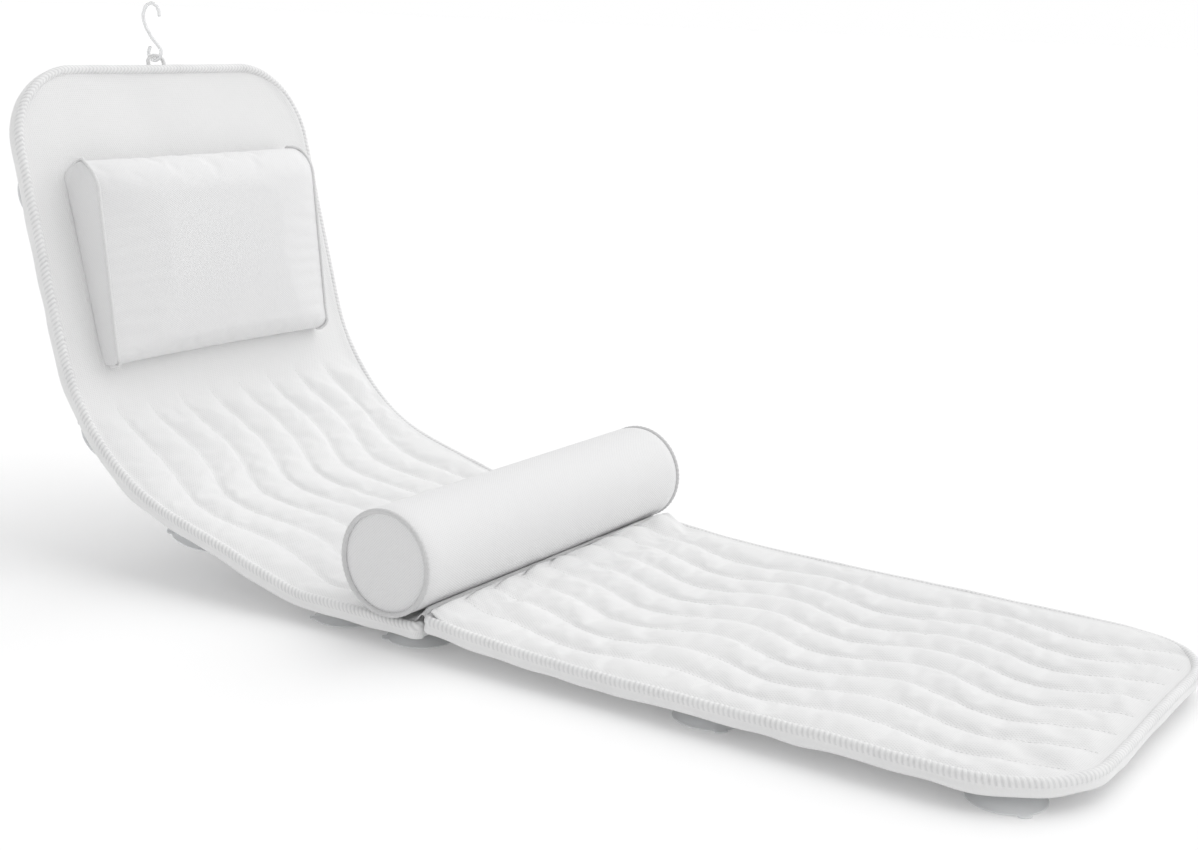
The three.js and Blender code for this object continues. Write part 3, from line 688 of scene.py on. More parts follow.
def hook_look():
    nodes = Nodes("milky_plastic")
    swirl = nodes.noise(160.0, 3.0)
    colour = nodes.ramp(swirl, [(0.3, (0.92, 0.925, 0.93)), (0.7, (0.96, 0.965, 0.97))])
    nodes.link(colour, nodes.shader.inputs["Base Color"])
    nodes.link(nodes.bump(nodes.noise(400.0, 2.0), 0.00004, 0.4), nodes.shader.inputs["Normal"])
    nodes.set(Roughness=0.24, Transmission_Weight=0.5, IOR=1.3, Coat_Weight=0.25, Coat_Roughness=0.1)
    return nodes.material


thread = thread_look()
clear_vinyl = vinyl_look()
milky_plastic = hook_look()


def finish_piece(obj, body, slot, nodes=()):
    if nodes:
        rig.replaces(obj, *nodes)
    if body is not None:
        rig.ride(obj, body)
    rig.slot(obj, slot)
    return obj


# Simulation of the stuffed pieces

def held_group(obj, weights):
    group = obj.vertex_groups.new(name="held")
    for level in np.unique(np.round(weights, 2)):
        if level > 0:
            group.add([int(i) for i in np.nonzero(np.round(weights, 2) == level)[0]], float(level), "REPLACE")


def simulate(jobs, frames):
    """Fills each piece with air while its seams are held, and returns each piece's new points."""
    scene = bpy.context.scene
    for obj, weights, pressure, bend, shrink in jobs:
        held_group(obj, weights)
        cloth = obj.modifiers.new("fill", "CLOTH")
        settings = cloth.settings
        settings.quality = 5
        settings.mass = 0.2
        settings.air_damping = 4
        settings.tension_stiffness = 18
        settings.compression_stiffness = 14
        settings.shear_stiffness = 6
        settings.bending_stiffness = bend
        settings.use_pressure = True
        settings.uniform_pressure_force = pressure
        settings.vertex_group_mass = "held"
        settings.pin_stiffness = 1
        settings.shrink_min = shrink
        settings.effector_weights.gravity = 0
        cloth.collision_settings.use_collision = False
        cloth.point_cache.frame_start = 1
        cloth.point_cache.frame_end = frames
    for number in range(1, frames + 1):
        scene.frame_set(number)
    graph = bpy.context.evaluated_depsgraph_get()
    results = []
    for obj, *_ in jobs:
        seen = obj.evaluated_get(graph)
        points = np.zeros(len(seen.data.vertices) * 3)
        seen.data.vertices.foreach_get("co", points)
        results.append(points.reshape(-1, 3))
    for obj, *_ in jobs:
        obj.modifiers.clear()
        obj.vertex_groups.clear()
    scene.frame_set(1)
    return results


def capped(start, after, most):
    move = after - start
    size = np.linalg.norm(move, axis=1, keepdims=True)
    return start + move * np.minimum(1, most / np.maximum(size, 1e-9))


def set_points(obj, points):
    obj.data.vertices.foreach_set("co", np.asarray(points, np.float32).ravel())
    obj.data.update()


def subdivided(obj, levels=1):
    modifier = obj.modifiers.new("fine", "SUBSURF")
    modifier.levels = levels
    modifier.render_levels = levels
    modifier.uv_smooth = "PRESERVE_BOUNDARIES"
    graph = bpy.context.evaluated_depsgraph_get()
    mesh = bpy.data.meshes.new_from_object(obj.evaluated_get(graph))
    obj.modifiers.clear()
    old = obj.data
    obj.data = mesh
    mesh.name = obj.name
    bpy.data.meshes.remove(old)
    return obj


# Quilted covers

def channel_of(panel, along, across, inset):
    """The channel coordinate, from -1 to 1 over the full width, of a place on a panel."""
    full = PANEL_WIDTH / 2 - EDGE_INSET
    wave = WAVE_HEIGHT * np.sin(2 * math.pi * along / WAVE_LENGTH)
    share = across / full
    for _ in range(12):
        error = share * full + wave * (1 - np.clip(share, -1, 1) ** 4) - across
        slope = full - 4 * wave * np.clip(share, -1, 1) ** 3
        share = share - error / slope
    return share


def quilt_share(panel, along):
    if panel is leg:
        return smooth((panel.length - EDGE_INSET - 0.002 - along) / 0.020)
    start = smooth((along - FOLD_SMOOTH) / QUILT_FADE)
    return start * smooth((HEAD_SMOOTH_START - along) / (QUILT_FADE * 1.5))


def quilt_height(panel, along, across, inset, fullness=1.0):
    channel = channel_of(panel, along, across, inset)
    phase = math.pi * CHANNELS * (channel + 1) / 2
    lens = 0.86 + 0.10 * np.sin(4 * math.pi * along / WAVE_LENGTH + 2.4 * channel * CHANNELS)
    lens = lens + 0.13 * ripple(along * 0.8 + across * 0.6, across * 0.35, 0.055, 61 if panel is leg else 62)
    crown = np.abs(np.sin(phase)) ** 0.55 * lens
    quilt = quilt_share(panel, along)
    edge = np.minimum(panel.half_width(along, inset) - np.abs(across), panel.length - inset - along)
    if panel is back:
        edge = np.minimum(edge, along - inset - FOLD_GAP)
    held = smooth(edge / 0.013)
    flat = (0.5 + 0.16 * ripple(along, across * 0.6 + along * 0.3, 0.085, 63)) * held
    height = VALLEY + PUFF * fullness * (quilt * crown * (0.25 + 0.75 * held) + (1 - quilt) * flat)
    height = height + (0.0014 + 0.0022 * smooth((across - 0.120) / 0.050)) * (1 - held)
    if panel is back:
        # The padding is pushed up into a bead between the bolster and the fold
        inside = panel.half_width(along, inset) - np.abs(across)
        height = height + 0.0065 * np.exp(-(((along - 0.0095) / 0.0065) ** 2)) * smooth(inside / 0.010)
    if panel is leg:
        # The quilting ends in free scallops over the fold's rolled edge, against the bolster
        end = 1 - smooth((along - 0.004) / 0.024)
        height = height + end * (0.0068 + 0.0034 * np.abs(np.sin(phase)) ** 0.8 + 0.0018 * (1 - held))
        height = height - 0.0012 * np.clip((0.005 - along) / 0.003, 0, 1) ** 2
    return height, np.abs(np.sin(phase)), quilt, held


COVER_INSET = 0.0053
LEG_QUILT_START = 0.0022


def quilt_start(name, panel):
    along = panel.stations(COVER_INSET, 0.0044, 20, start=LEG_QUILT_START if panel is leg else None)
    full = PANEL_WIDTH / 2 - EDGE_INSET
    # A tenth of a channel per column, so that each seam lies on a column
    share = np.linspace(-1, 1, CHANNELS * 10 + 1)
    margin = (EDGE_INSET - COVER_INSET) / full
    share = np.concatenate([[-1 - margin], share, [1 + margin]])
    wave = WAVE_HEIGHT * np.sin(2 * math.pi * along / WAVE_LENGTH)
    across = share[None, :] * full + wave[:, None] * (1 - np.clip(share[None, :], -1, 1) ** 4)
    fit = panel.half_width(along, COVER_INSET) / (PANEL_WIDTH / 2 - COVER_INSET)
    across = across * fit[:, None]
    s = np.broadcast_to(along[:, None], across.shape)
    height, seam, quilt, held = quilt_height(panel, s, across, COVER_INSET, 0.76)
    puckers = ripple(s, across, 0.011, 5 if panel is leg else 6)
    height = height + 0.00018 * puckers * quilt * np.exp(-((seam / 0.5) ** 2)) * held
    top = panel.at(s, across, height)
    rows, columns = across.shape
    base_height = np.full(len(along), BACKING + 0.0003)
    if panel is leg:
        base_height = np.where(along < EDGE_INSET, 0.0122, base_height)
    low_left = panel.at(along, across[:, 0], base_height)
    low_right = panel.at(along, across[:, -1], base_height)
    points = np.concatenate([top.reshape(-1, 3), low_left, low_right])
    faces = [tuple(f) for f in grid_faces(rows, columns)]
    uv = [corner_grid_uv(np.array(across), np.array(s))]
    first_left = rows * columns
    first_right = first_left + rows
    for i in range(rows - 1):
        left, right = i * columns, i * columns + columns - 1
        faces.append((left, first_left + i, first_left + i + 1, left + columns))
        faces.append((right, right + columns, first_right + i + 1, first_right + i))
        faces.append((first_left + i, first_right + i, first_right + i + 1, first_left + i + 1))
    faces.append(tuple([first_left, *range(columns), first_right][::-1]))
    last = (rows - 1) * columns
    faces.append(tuple([first_left + rows - 1, *range(last, last + columns), first_right + rows - 1]))
    loops = sum(len(f) for f in faces) - 4 * (rows - 1) * (columns - 1)
    uv.append(np.zeros((loops, 2)))
    obj = add_object(name, make_mesh(name, points, faces, np.concatenate(uv)), cover_cloth)
    fix_normals(obj.data)
    weights = np.ones(len(points))
    on_seam = np.where(seam < 0.10, 1.0, 0.0)
    # Held firmly on seams and edges, and loosely where the cloth lies smooth
    hold = np.maximum(on_seam * np.round(quilt, 1), (1 - quilt) * 0.55)
    hold = np.maximum(hold, np.where(held < 0.25, 1.0, 0.0))
    weights[: rows * columns] = hold.reshape(-1)
    state = {"rows": rows, "columns": columns, "top": top, "s": s, "across": across, "quilt": quilt, "held": held,
             "up": panel.up(along), "weights": weights}
    return obj, state


leg_quilt, leg_state = quilt_start("leg_quilted_cover", leg)
back_quilt, back_state = quilt_start("back_quilted_cover", back)


# Headrest and bolster before filling

def wedge_front(inset, crown, low_depth=0.020, high_depth=0.045, low_round=0.011, high_round=0.031):
    low, high = HEADREST_LOW + inset, HEADREST_HIGH - inset
    low_depth = low_depth + crown * 0.4 - inset
    high_depth = high_depth + crown - inset
    low_round, high_round = low_round - inset, high_round - inset
    front = [(low, 0.0)]
    for turned in np.linspace(math.pi, math.pi / 2, 10):
        front.append((low + low_round + low_round * math.cos(turned), low_depth - low_round + low_round * math.sin(turned)))
    for share in np.linspace(0, 1, 26)[1:-1]:
        bulge = crown * 0.5 * math.sin(math.pi * share)
        front.append((
            (low + low_round) * (1 - share) + (high - high_round) * share,
            low_depth * (1 - share) + high_depth * share + bulge,
        ))
    for turned in np.linspace(math.pi / 2, 0, 14):
        front.append((high - high_round + high_round * math.cos(turned), high_depth - high_round + high_round * math.sin(turned)))
    front.append((high, 0.0))
    front = np.array(front)
    tuck = np.clip(1 - front[:, 1] / 0.021, 0, 1) ** 2.2
    front[:, 0] += np.where(front[:, 0] > (low + high) / 2, -0.0115, 0.0040) * tuck
    return front


# How much thinner the pillow is at its seamed ends than across its middle
END_PINCH = 0.17
FRONT_STEPS = 58
ACROSS_STEPS = 66
SIDE_STEPS = 9


def headrest_start():
    """A closed wedge of rings across the mat, with sides filled by columns from its base to its face."""
    places = np.linspace(-1, 1, ACROSS_STEPS + 1)
    places = np.sign(places) * np.abs(places) ** 0.93
    rings = []
    for place in places:
        crown = 0.0045 * (1 - place ** 2)
        front = wedge_front(0.0012, crown)
        front[:, 1] *= 1 - END_PINCH * abs(place) ** 7
        run = length_along(front)
        wanted = np.linspace(0, run[-1], FRONT_STEPS + 1)
        front = np.stack([np.interp(wanted, run, front[:, 0]), np.interp(wanted, run, front[:, 1])], -1)
        base = np.stack([np.linspace(front[0, 0], front[-1, 0], FRONT_STEPS + 1), np.zeros(FRONT_STEPS + 1)], -1)
        rings.append((front, base))
    half = HEADREST_HALF + 0.0015
    points, flat = [], []
    for place, (front, base) in zip(places, rings):
        for s, rise in [*front, *base[1:-1][::-1]]:
            from_low = s - HEADREST_LOW
            from_high = HEADREST_HIGH - s
            corner = 0.010
            narrow = 0.0
            for distance in (from_low, from_high):
                past = max(0.0, corner - distance)
                narrow += corner - math.sqrt(max(corner * corner - past * past, 0.0))
            flat.append((s, place * (half - narrow * 0.8), rise))
    flat = np.array(flat)
    size = 2 * FRONT_STEPS
    faces = []
    rows = ACROSS_STEPS + 1
    faces += [tuple(f) for f in grid_faces(rows, size, wrap=True)]
    loop_u = np.zeros((rows, size))
    front, base = rings[0]
    outline = np.concatenate([front, base[1:-1][::-1]])
    loop_u[:] = np.append(0, np.cumsum(np.linalg.norm(np.diff(outline, axis=0), axis=1)))[None, :]
    around = float(loop_u[0, -1] + np.linalg.norm(outline[0] - outline[-1]))
    loop_v = np.broadcast_to((places * half)[:, None], (rows, size))
    uv = [corner_grid_uv(loop_v.copy() * 0 + loop_u, loop_v, wrap_u=around)]
    extra, side_faces = [], []
    for end, ring_index in (("near", 0), ("far", rows - 1)):
        ring = ring_index * size
        front, base = rings[ring_index]
        ring_flat = flat[ring: ring + size]
        first = len(flat) + len(extra)
        grid = np.zeros((FRONT_STEPS + 1, SIDE_STEPS + 1), int)
        for k in range(FRONT_STEPS + 1):
            top_index = ring + k
            low_index = ring + (size - k if 0 < k < FRONT_STEPS else k)
            for j in range(SIDE_STEPS + 1):
                if j == SIDE_STEPS or k in (0, FRONT_STEPS):
                    grid[k, j] = top_index
                elif j == 0:
                    grid[k, j] = low_index
                else:
                    share = j / SIDE_STEPS
                    p = ring_flat[low_index - ring] * (1 - share) + ring_flat[top_index - ring] * share
                    grid[k, j] = len(flat) + len(extra)
                    extra.append(p)
        for k in range(FRONT_STEPS):
            for j in range(SIDE_STEPS):
                face = [grid[k, j], grid[k + 1, j], grid[k + 1, j + 1], grid[k, j + 1]]
                kept = [f for n, f in enumerate(face) if f not in face[:n]]
                if len(kept) > 2:
                    side_faces.append((end, tuple(kept)))
    every = np.concatenate([flat, np.array(extra)])
    for end, face in side_faces:
        faces.append(face)
        uv.append(every[list(face)][:, [2, 0]])
    rim = np.minimum(half - np.abs(every[:, 1]), np.minimum(every[:, 0] - HEADREST_LOW, HEADREST_HIGH - every[:, 0]))
    # The base lies just over its backing in the middle, and its rim comes down to the mat
    near_rim = 1 - smooth(rim / 0.020)
    sag = (0.0006 * (1 - near_rim) - 0.0042 * near_rim) * np.clip(1 - every[:, 2] / 0.016, 0, 1)
    points = back.at(every[:, 0], every[:, 1], HEADREST_BASE + every[:, 2] + sag)
    obj = add_object("headrest_pillow", make_mesh("headrest_pillow", points, faces, np.concatenate(uv)), pillow_cloth)
    obj.data.materials.append(pillow_cloth.copy())
    obj.data.materials.append(pillow_cloth.copy())
    index = np.zeros(len(faces), int)
    count = len(faces) - len(side_faces)
    for n, (end, _) in enumerate(side_faces):
        index[count + n] = 1 if end == "near" else 2
    obj.data.polygons.foreach_set("material_index", index)
    fix_normals(obj.data)
    weights = np.zeros(len(points))
    weights[every[:, 2] < 0.0005] = 1.0
    for ring_index in (0, rows - 1):
        weights[ring_index * size: (ring_index + 1) * size] = 1.0
    return obj, points, weights, every


def bolster_start():
    """A closed roll: rings along its length and a disc of rings at each end."""
    sides = 72
    along = np.concatenate([
        np.linspace(-BOLSTER_HALF, -BOLSTER_HALF + 0.016, 6)[:-1],
        np.linspace(-BOLSTER_HALF + 0.016, BOLSTER_HALF - 0.016, 64),
        np.linspace(BOLSTER_HALF - 0.016, BOLSTER_HALF, 6)[1:],
    ])
    turned = 2 * math.pi * np.arange(sides) / sides
    edge = np.clip((BOLSTER_HALF - np.abs(along)) / 0.014, 0, 1)
    radius = BOLSTER_RADIUS - 0.0006 - 0.0018 * (1 - edge) ** 2
    x = radius[:, None] * np.cos(turned)[None, :]
    z = radius[:, None] * np.sin(turned)[None, :]
    y = np.broadcast_to(along[:, None], x.shape)
    skin = np.stack([x, y, z], -1).reshape(-1, 3)
    rows = len(along)
    faces = [tuple(f) for f in grid_faces(rows, sides, wrap=True)]
    u = np.broadcast_to((turned * BOLSTER_RADIUS)[None, :], x.shape)
    uv = [corner_grid_uv(np.array(u), np.array(y), wrap_u=2 * math.pi * BOLSTER_RADIUS)]
    points = [skin]
    index = [0] * len(faces)
    total = len(skin)
    for number, (ring, side) in enumerate(((0, -1), (rows - 1, 1))):
        rim = skin[ring * sides: (ring + 1) * sides]
        before = ring * sides + np.arange(sides)
        rings = 9
        for k in range(1, rings):
            share = 1 - k / rings
            disc = rim * np.array([share, 1, share])
            here = total + np.arange(sides)
            points.append(disc)
            total += sides
            for a in range(sides):
                b = (a + 1) % sides
                faces.append((before[a], before[b], here[b], here[a]))
                index.append(number + 1)
            before = here
        points.append(np.array([[0, rim[0, 1], 0]]))
        for a in range(sides):
            faces.append((before[a], before[(a + 1) % sides], total))
            index.append(number + 1)
        total += 1
    points = np.concatenate(points)
    for face in faces[rows * sides - sides:]:
        uv.append(points[list(face)][:, [0, 2]])
    obj = add_object("bolster_roll", make_mesh("bolster_roll", points + np.array(BOLSTER_PLACE), faces, np.concatenate(uv)), pillow_cloth)
    obj.data.materials.append(pillow_cloth.copy())
    obj.data.materials.append(pillow_cloth.copy())
    obj.data.polygons.foreach_set("material_index", np.array(index))
    fix_normals(obj.data)
    weights = np.zeros(len(points))
    for ring in (0, rows - 1):
        weights[ring * sides: (ring + 1) * sides] = 1.0
    low = (points[:, 2] < -BOLSTER_RADIUS * 0.93) & (np.arange(len(points)) < len(skin))
    weights[low] = 1.0
    return obj, points + np.array(BOLSTER_PLACE), weights


headrest_pillow, headrest_points, headrest_weights, headrest_flat = headrest_start()
bolster_roll, bolster_points, bolster_weights = bolster_start()

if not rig.quick():
    jobs = [
        (leg_quilt, leg_state["weights"], 28.0, 1.0, -0.022),
        (back_quilt, back_state["weights"], 28.0, 1.0, -0.022),
        (headrest_pillow, headrest_weights, 18.0, 2.0, -0.006),
        (bolster_roll, bolster_weights, 16.0, 2.5, 0.0),
    ]
    leg_after, back_after, headrest_after, bolster_after = simulate(jobs, 12)
    for obj, state, after in ((leg_quilt, leg_state, leg_after), (back_quilt, back_state, back_after)):
        count = state["rows"] * state["columns"]
        start = state["top"].reshape(-1, 3)
        moved = capped(start, after[:count], 0.0022)
        ease = (state["quilt"] * state["held"]).reshape(-1, 1)
        points = np.zeros((len(obj.data.vertices), 3))
        obj.data.vertices.foreach_get("co", points.reshape(-1))
        points = np.array([v.co for v in obj.data.vertices])
        points[:count] = start + (moved - start) * (0.12 + 0.88 * ease)
        set_points(obj, points)
    set_points(headrest_pillow, capped(headrest_points, headrest_after, 0.0055))
    set_points(bolster_roll, capped(bolster_points, bolster_after, 0.0007))

for obj in (leg_quilt, back_quilt, headrest_pillow, bolster_roll):
    subdivided(obj)

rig.padded(finish_piece(leg_quilt, "leg_section", "mesh_cloth", ["leg_top_cover", "leg_padding"]), fill=0.5)
# The bolster rolls on to the scallops and presses them as the mat folds
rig.squash(leg_quilt, "back_fold", axis=(0, 0, 1), anchor=(FOLD_X, 0, CUP_HEIGHT + BACKING), keep=0.79)
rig.padded(finish_piece(back_quilt, "back_section", "mesh_cloth", ["back_top_cover", "back_padding"]), fill=0.5)


def parted(obj, names, looks):
    """Splits a piece by its material number into pieces of their own, each with its own look."""
    import bmesh
    made = []
    for number, (name, look) in enumerate(zip(names, looks)):
        work = bmesh.new()
        work.from_mesh(obj.data)
        bmesh.ops.delete(work, geom=[f for f in work.faces if f.material_index != number], context="FACES")
        mesh = bpy.data.meshes.new(name)
        for face in work.faces:
            face.material_index = 0
        work.to_mesh(mesh)
        work.free()
        made.append(add_object(name, mesh, look))
    bpy.data.objects.remove(obj)
    return made


headrest_face, headrest_near, headrest_far = parted(
    headrest_pillow, ["headrest_filled_cover", "headrest_side_near", "headrest_side_far"], [pillow_cloth, pillow_cloth, pillow_cloth],
)
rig.padded(finish_piece(headrest_face, "headrest", "mesh_cloth", ["headrest_cover", "headrest_core"]), fill=0.7)
for obj, node in ((headrest_near, "headrest_gusset_near"), (headrest_far, "headrest_gusset_far")):
    finish_piece(obj, "headrest", "mesh_cloth", [node])
    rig.sheet(obj, flat=(0.195, 0.045), held="stretched", rests_on=["headrest_filled_cover"], area=0.0064)

sleeve, end_near, end_far = parted(
    bolster_roll, ["bolster_filled_sleeve", "bolster_disc_near", "bolster_disc_far"], [pillow_cloth, end_cloth, end_cloth],
)
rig.padded(finish_piece(sleeve, "bolster", "mesh_cloth", ["bolster_sleeve", "bolster_core"]), fill=0.8)
for obj, node in ((end_near, "bolster_end_near"), (end_far, "bolster_end_far")):
    finish_piece(obj, "bolster", "mesh_cloth", [node])
    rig.sheet(obj, flat=(0.0884, 0.0884), held="stretched", rests_on=["bolster_filled_sleeve"], area=0.00614)


# Bindings

def binding_path(panel, spacing):
    """The middle line of a panel's rolled edge, with the way out at each point."""
    half = PANEL_WIDTH / 2 - BINDING_WIDTH / 2
    near = BINDING_WIDTH / 2
    start = near + FOLD_GAP
    far = panel.length - near
    radius = panel.corner - near
    points, outs = [], []

    def corner(along, across, size, first):
        count = max(5, round(size * math.pi / 2 / spacing))
        for turned in np.linspace(first, first + math.pi / 2, count + 1):
            points.append((along + size * math.cos(turned), across + size * math.sin(turned)))
            outs.append((math.cos(turned), math.sin(turned)))

    def straight(a, b, out):
        count = max(2, round(math.dist(a, b) / spacing))
        for share in np.linspace(0, 1, count + 1)[1:-1]:
            points.append((a[0] + (b[0] - a[0]) * share, a[1] + (b[1] - a[1]) * share))
            outs.append(out)

    corner(start + near, -half + near, near, math.pi)
    straight((start + near, -half), (far - radius, -half), (0, -1))
    corner(far - radius, -half + radius, radius, -math.pi / 2)
    straight((far, -half + radius), (far, half - radius), (1, 0))
    corner(far - radius, half - radius, radius, 0)
    straight((far - radius, half), (start + near, half), (0, 1))
    corner(start + near, half - near, near, math.pi / 2)
    straight((start, half - near), (start, -half + near), (-1, 0))
    return np.array(points), np.array(outs)


def binding_profile(lean):
    """Outward reach and height of the tape's section: a rope-like roll over a plainer band."""
    roll = []
    for turned in np.linspace(ROPE_FIRST, ROPE_LAST, 13):
        roll.append(("roll", turned))
    flat = [("band", (-0.0042, 0.0062)), ("band", (-0.0043, 0.0030)), ("band", (-0.0040, 0.0006)),
            ("band", (-0.0015, 0.0001)), ("band", (0.0018, 0.0001)), ("band", (0.0034, 0.0007)),
            ("band", (0.0040, 0.0025)), ("band", (0.0040, 0.0046)), ("band", (0.0035, 0.0062))]
    return roll + flat


def binding_piece(name, panel, body, zigzag, node):
    points, outs = binding_path(panel, 0.00115)
    closed = np.concatenate([points, points[:1]])
    run = length_along(closed)[:-1]
    profile = binding_profile(0)
    turns = round(run[-1] / ROPE_PITCH)
    pitch = (run[-1] + math.dist(points[-1], points[0])) / turns
    along = points[:, 0]
    # The end at the fold is pressed flatter under the bolster
    pressed = smooth((0.013 - along) / 0.006) * smooth((0.1815 - np.abs(points[:, 1])) / 0.005)
    far = smooth((points[:, 1] - 0.150) / 0.030) * (1 - pressed)
    rings = np.zeros((len(points), len(profile), 3))
    for k, (kind, value) in enumerate(profile):
        if kind == "roll":
            radius = 0.0041
            if zigzag:
                phase = 2 * math.pi * run / pitch + 2.0 * np.abs(value - math.pi / 2) * 1.6
            else:
                phase = 2 * math.pi * run / pitch + 1.5 * value
            rib = np.abs(np.sin(phase / 2)) ** 0.7
            reach = radius + (0.0009 + 0.0004 * ripple(run, run * 0, 0.03, 29)) * (rib - 0.70)
            out = 0.0002 + reach * math.cos(value)
            height = 0.0106 + reach * math.sin(value) * (1 - 0.3 * pressed)
            height = height - (0.0031 if panel is leg else 0.0006) * pressed
            height = height - 0.0012 * far
        else:
            low = 1 - value[1] / 0.0062
            out = value[0] * (1 - 0.10 * low) + 0.0004 * low * ripple(run, run * 0, 0.05, 33)
            height = value[1] + low * (0.0006 + 0.0008 * ripple(run, run * 0, 0.07, 35))
        wobble = 0.00018 * ripple(run, run * 0, 0.045, 21 + (panel is back)) + 0.0005 * ripple(run, run * 0, 0.15, 27 + (panel is back))
        sway = 0.0003 * ripple(run, run * 0, 0.11, 23 + (panel is back)) * (1 - pressed)
        rings[:, k] = panel.at(along + outs[:, 0] * (out + sway), points[:, 1] + outs[:, 1] * (out + sway), height + wobble)
    mesh = tube_mesh(name, rings, run / pitch * ROPE_PITCH, ROPE_ROUND, closed_path=True)
    obj = add_object(name, mesh, back_rope if zigzag else leg_rope)
    fix_normals(obj.data)
    return finish_piece(obj, body, "edge_tape", [node])


binding_piece("leg_rolled_edge", leg, "leg_section", False, "leg_binding")
binding_piece("back_rolled_edge", back, "back_section", True, "back_binding")


# Backings with the quilting's stitches showing faintly

def backing_piece(name, panel, body, node):
    along = panel.stations(EDGE_INSET, 0.0065, 12)
    share = np.linspace(-1, 1, CHANNELS * 6 + 1)
    full = PANEL_WIDTH / 2 - EDGE_INSET
    wave = WAVE_HEIGHT * np.sin(2 * math.pi * along / WAVE_LENGTH)
    fit = panel.half_width(along, EDGE_INSET) / full
    across = (share[None, :] * full + wave[:, None] * (1 - share[None, :] ** 4)) * fit[:, None]
    s = np.broadcast_to(along[:, None], across.shape)
    channel = channel_of(panel, s, across, EDGE_INSET)
    seam = np.abs(np.sin(math.pi * CHANNELS * (channel + 1) / 2))
    quilt = quilt_share(panel, s)
    under = 0.0009 * quilt * np.exp(-((seam / 0.35) ** 2)) + 0.00015 * ripple(s, across, 0.05, 31)
    under = np.clip(under, 0, 0.0012)
    rows, columns = across.shape
    low = panel.at(s, across, under).reshape(-1, 3)
    high = panel.at(s, across, BACKING).reshape(-1, 3)
    count = rows * columns
    faces = [tuple(f[::-1]) for f in grid_faces(rows, columns)] + [tuple(f) for f in grid_faces(rows, columns, start=count)]
    uv_top = corner_grid_uv(np.array(across), np.array(s))
    uv_low = uv_top.reshape(-1, 4, 2)[:, ::-1].reshape(-1, 2)
    ring = [*range(columns), *[i * columns + columns - 1 for i in range(1, rows)],
            *range(count - 2, count - columns - 1, -1), *[i * columns for i in range(rows - 2, 0, -1)]]
    for a, b in zip(ring, ring[1:] + ring[:1]):
        faces.append((a, b, b + count, a + count))
    uv = np.concatenate([uv_low, uv_top, np.zeros((4 * len(ring), 2))])
    obj = add_object(name, make_mesh(name, np.concatenate([low, high]), faces, uv), backing_cloth)
    fix_normals(obj.data)
    finish_piece(obj, body, "mesh_cloth", [node])
    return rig.sheet(obj, flat=(2 * full, panel.length - 2 * EDGE_INSET), held="stretched", rests_on=[name.replace("backing_cloth", "rolled_edge")])


backing_piece("leg_backing_cloth", leg, "leg_section", "leg_backing")
backing_piece("back_backing_cloth", back, "back_section", "back_backing")


# Stitches along the quilting's seams

def dash(start, end, up, radius):
    """One stitch: a short rounded bead of thread that dives in at both ends."""
    ahead = end - start
    length = np.linalg.norm(ahead)
    ahead = ahead / length
    side = np.cross(ahead, up)
    rings = []
    for share, size, sink in ((0.0, 0.55, 0.9), (0.2, 1.0, 0.15), (0.8, 1.0, 0.15), (1.0, 0.55, 0.9)):
        centre = start + ahead * length * share - up * sink * radius
        for k in range(6):
            angle = 2 * math.pi * k / 6
            rings.append(centre + radius * size * (math.cos(angle) * side + math.sin(angle) * up))
    faces = []
    for i in range(3):
        for k in range(6):
            a, b = i * 6 + k, i * 6 + (k + 1) % 6
            faces.append((a, b, b + 6, a + 6))
    faces.append((5, 4, 3, 2, 1, 0))
    faces.append((18, 19, 20, 21, 22, 23))
    return rings, faces


def stitch_piece(name, panel, state, body):
    """Thread dashes in each seam, laid on the finished cover."""
    rows, columns = state["rows"], state["columns"]
    points, faces = [], []
    cover = bpy.data.objects[name.replace("seam_stitches", "quilted_cover")]
    tree = __import__("mathutils.bvhtree", fromlist=["BVHTree"]).BVHTree.FromObject(cover, bpy.context.evaluated_depsgraph_get())
    full = PANEL_WIDTH / 2 - EDGE_INSET
    for line in range(1, CHANNELS):
        share = 2 * line / CHANNELS - 1
        s = np.arange(0.006 if panel is leg else 0.012, panel.length - 0.012, 0.0040)
        wave = WAVE_HEIGHT * np.sin(2 * math.pi * s / WAVE_LENGTH)
        across = share * full + wave * (1 - share ** 4)
        inside = np.abs(across) < panel.half_width(s, EDGE_INSET + 0.004)
        quilt = quilt_share(panel, s)
        for k in range(len(s) - 1):
            if not inside[k] or not inside[k + 1] or quilt[k] < 0.25:
                continue
            mid = s[k] + (s[k + 1] - s[k]) * 0.72
            ends = []
            for place in (s[k], mid):
                reach = share * full + WAVE_HEIGHT * math.sin(2 * math.pi * place / WAVE_LENGTH) * (1 - share ** 4)
                top = Vector(panel.at(place, reach, 0.020))
                down = Vector(-panel.up(place))
                hit = tree.ray_cast(top, down, 0.02)[0]
                if hit is None:
                    break
                ends.append(np.array(hit))
            if len(ends) < 2:
                continue
            up = panel.up(s[k])
            ring, quads = dash(ends[0] + up * 0.0001, ends[1] + up * 0.0001, up, 0.00035)
            first = len(points)
            points += ring
            faces += [tuple(i + first for i in q) for q in quads]
    obj = add_object(name, make_mesh(name, points, faces), thread)
    return finish_piece(obj, body, "edge_tape")


stitch_piece("leg_seam_stitches", leg, leg_state, "leg_section")
stitch_piece("back_seam_stitches", back, back_state, "back_section")


# Fold tape over the joint

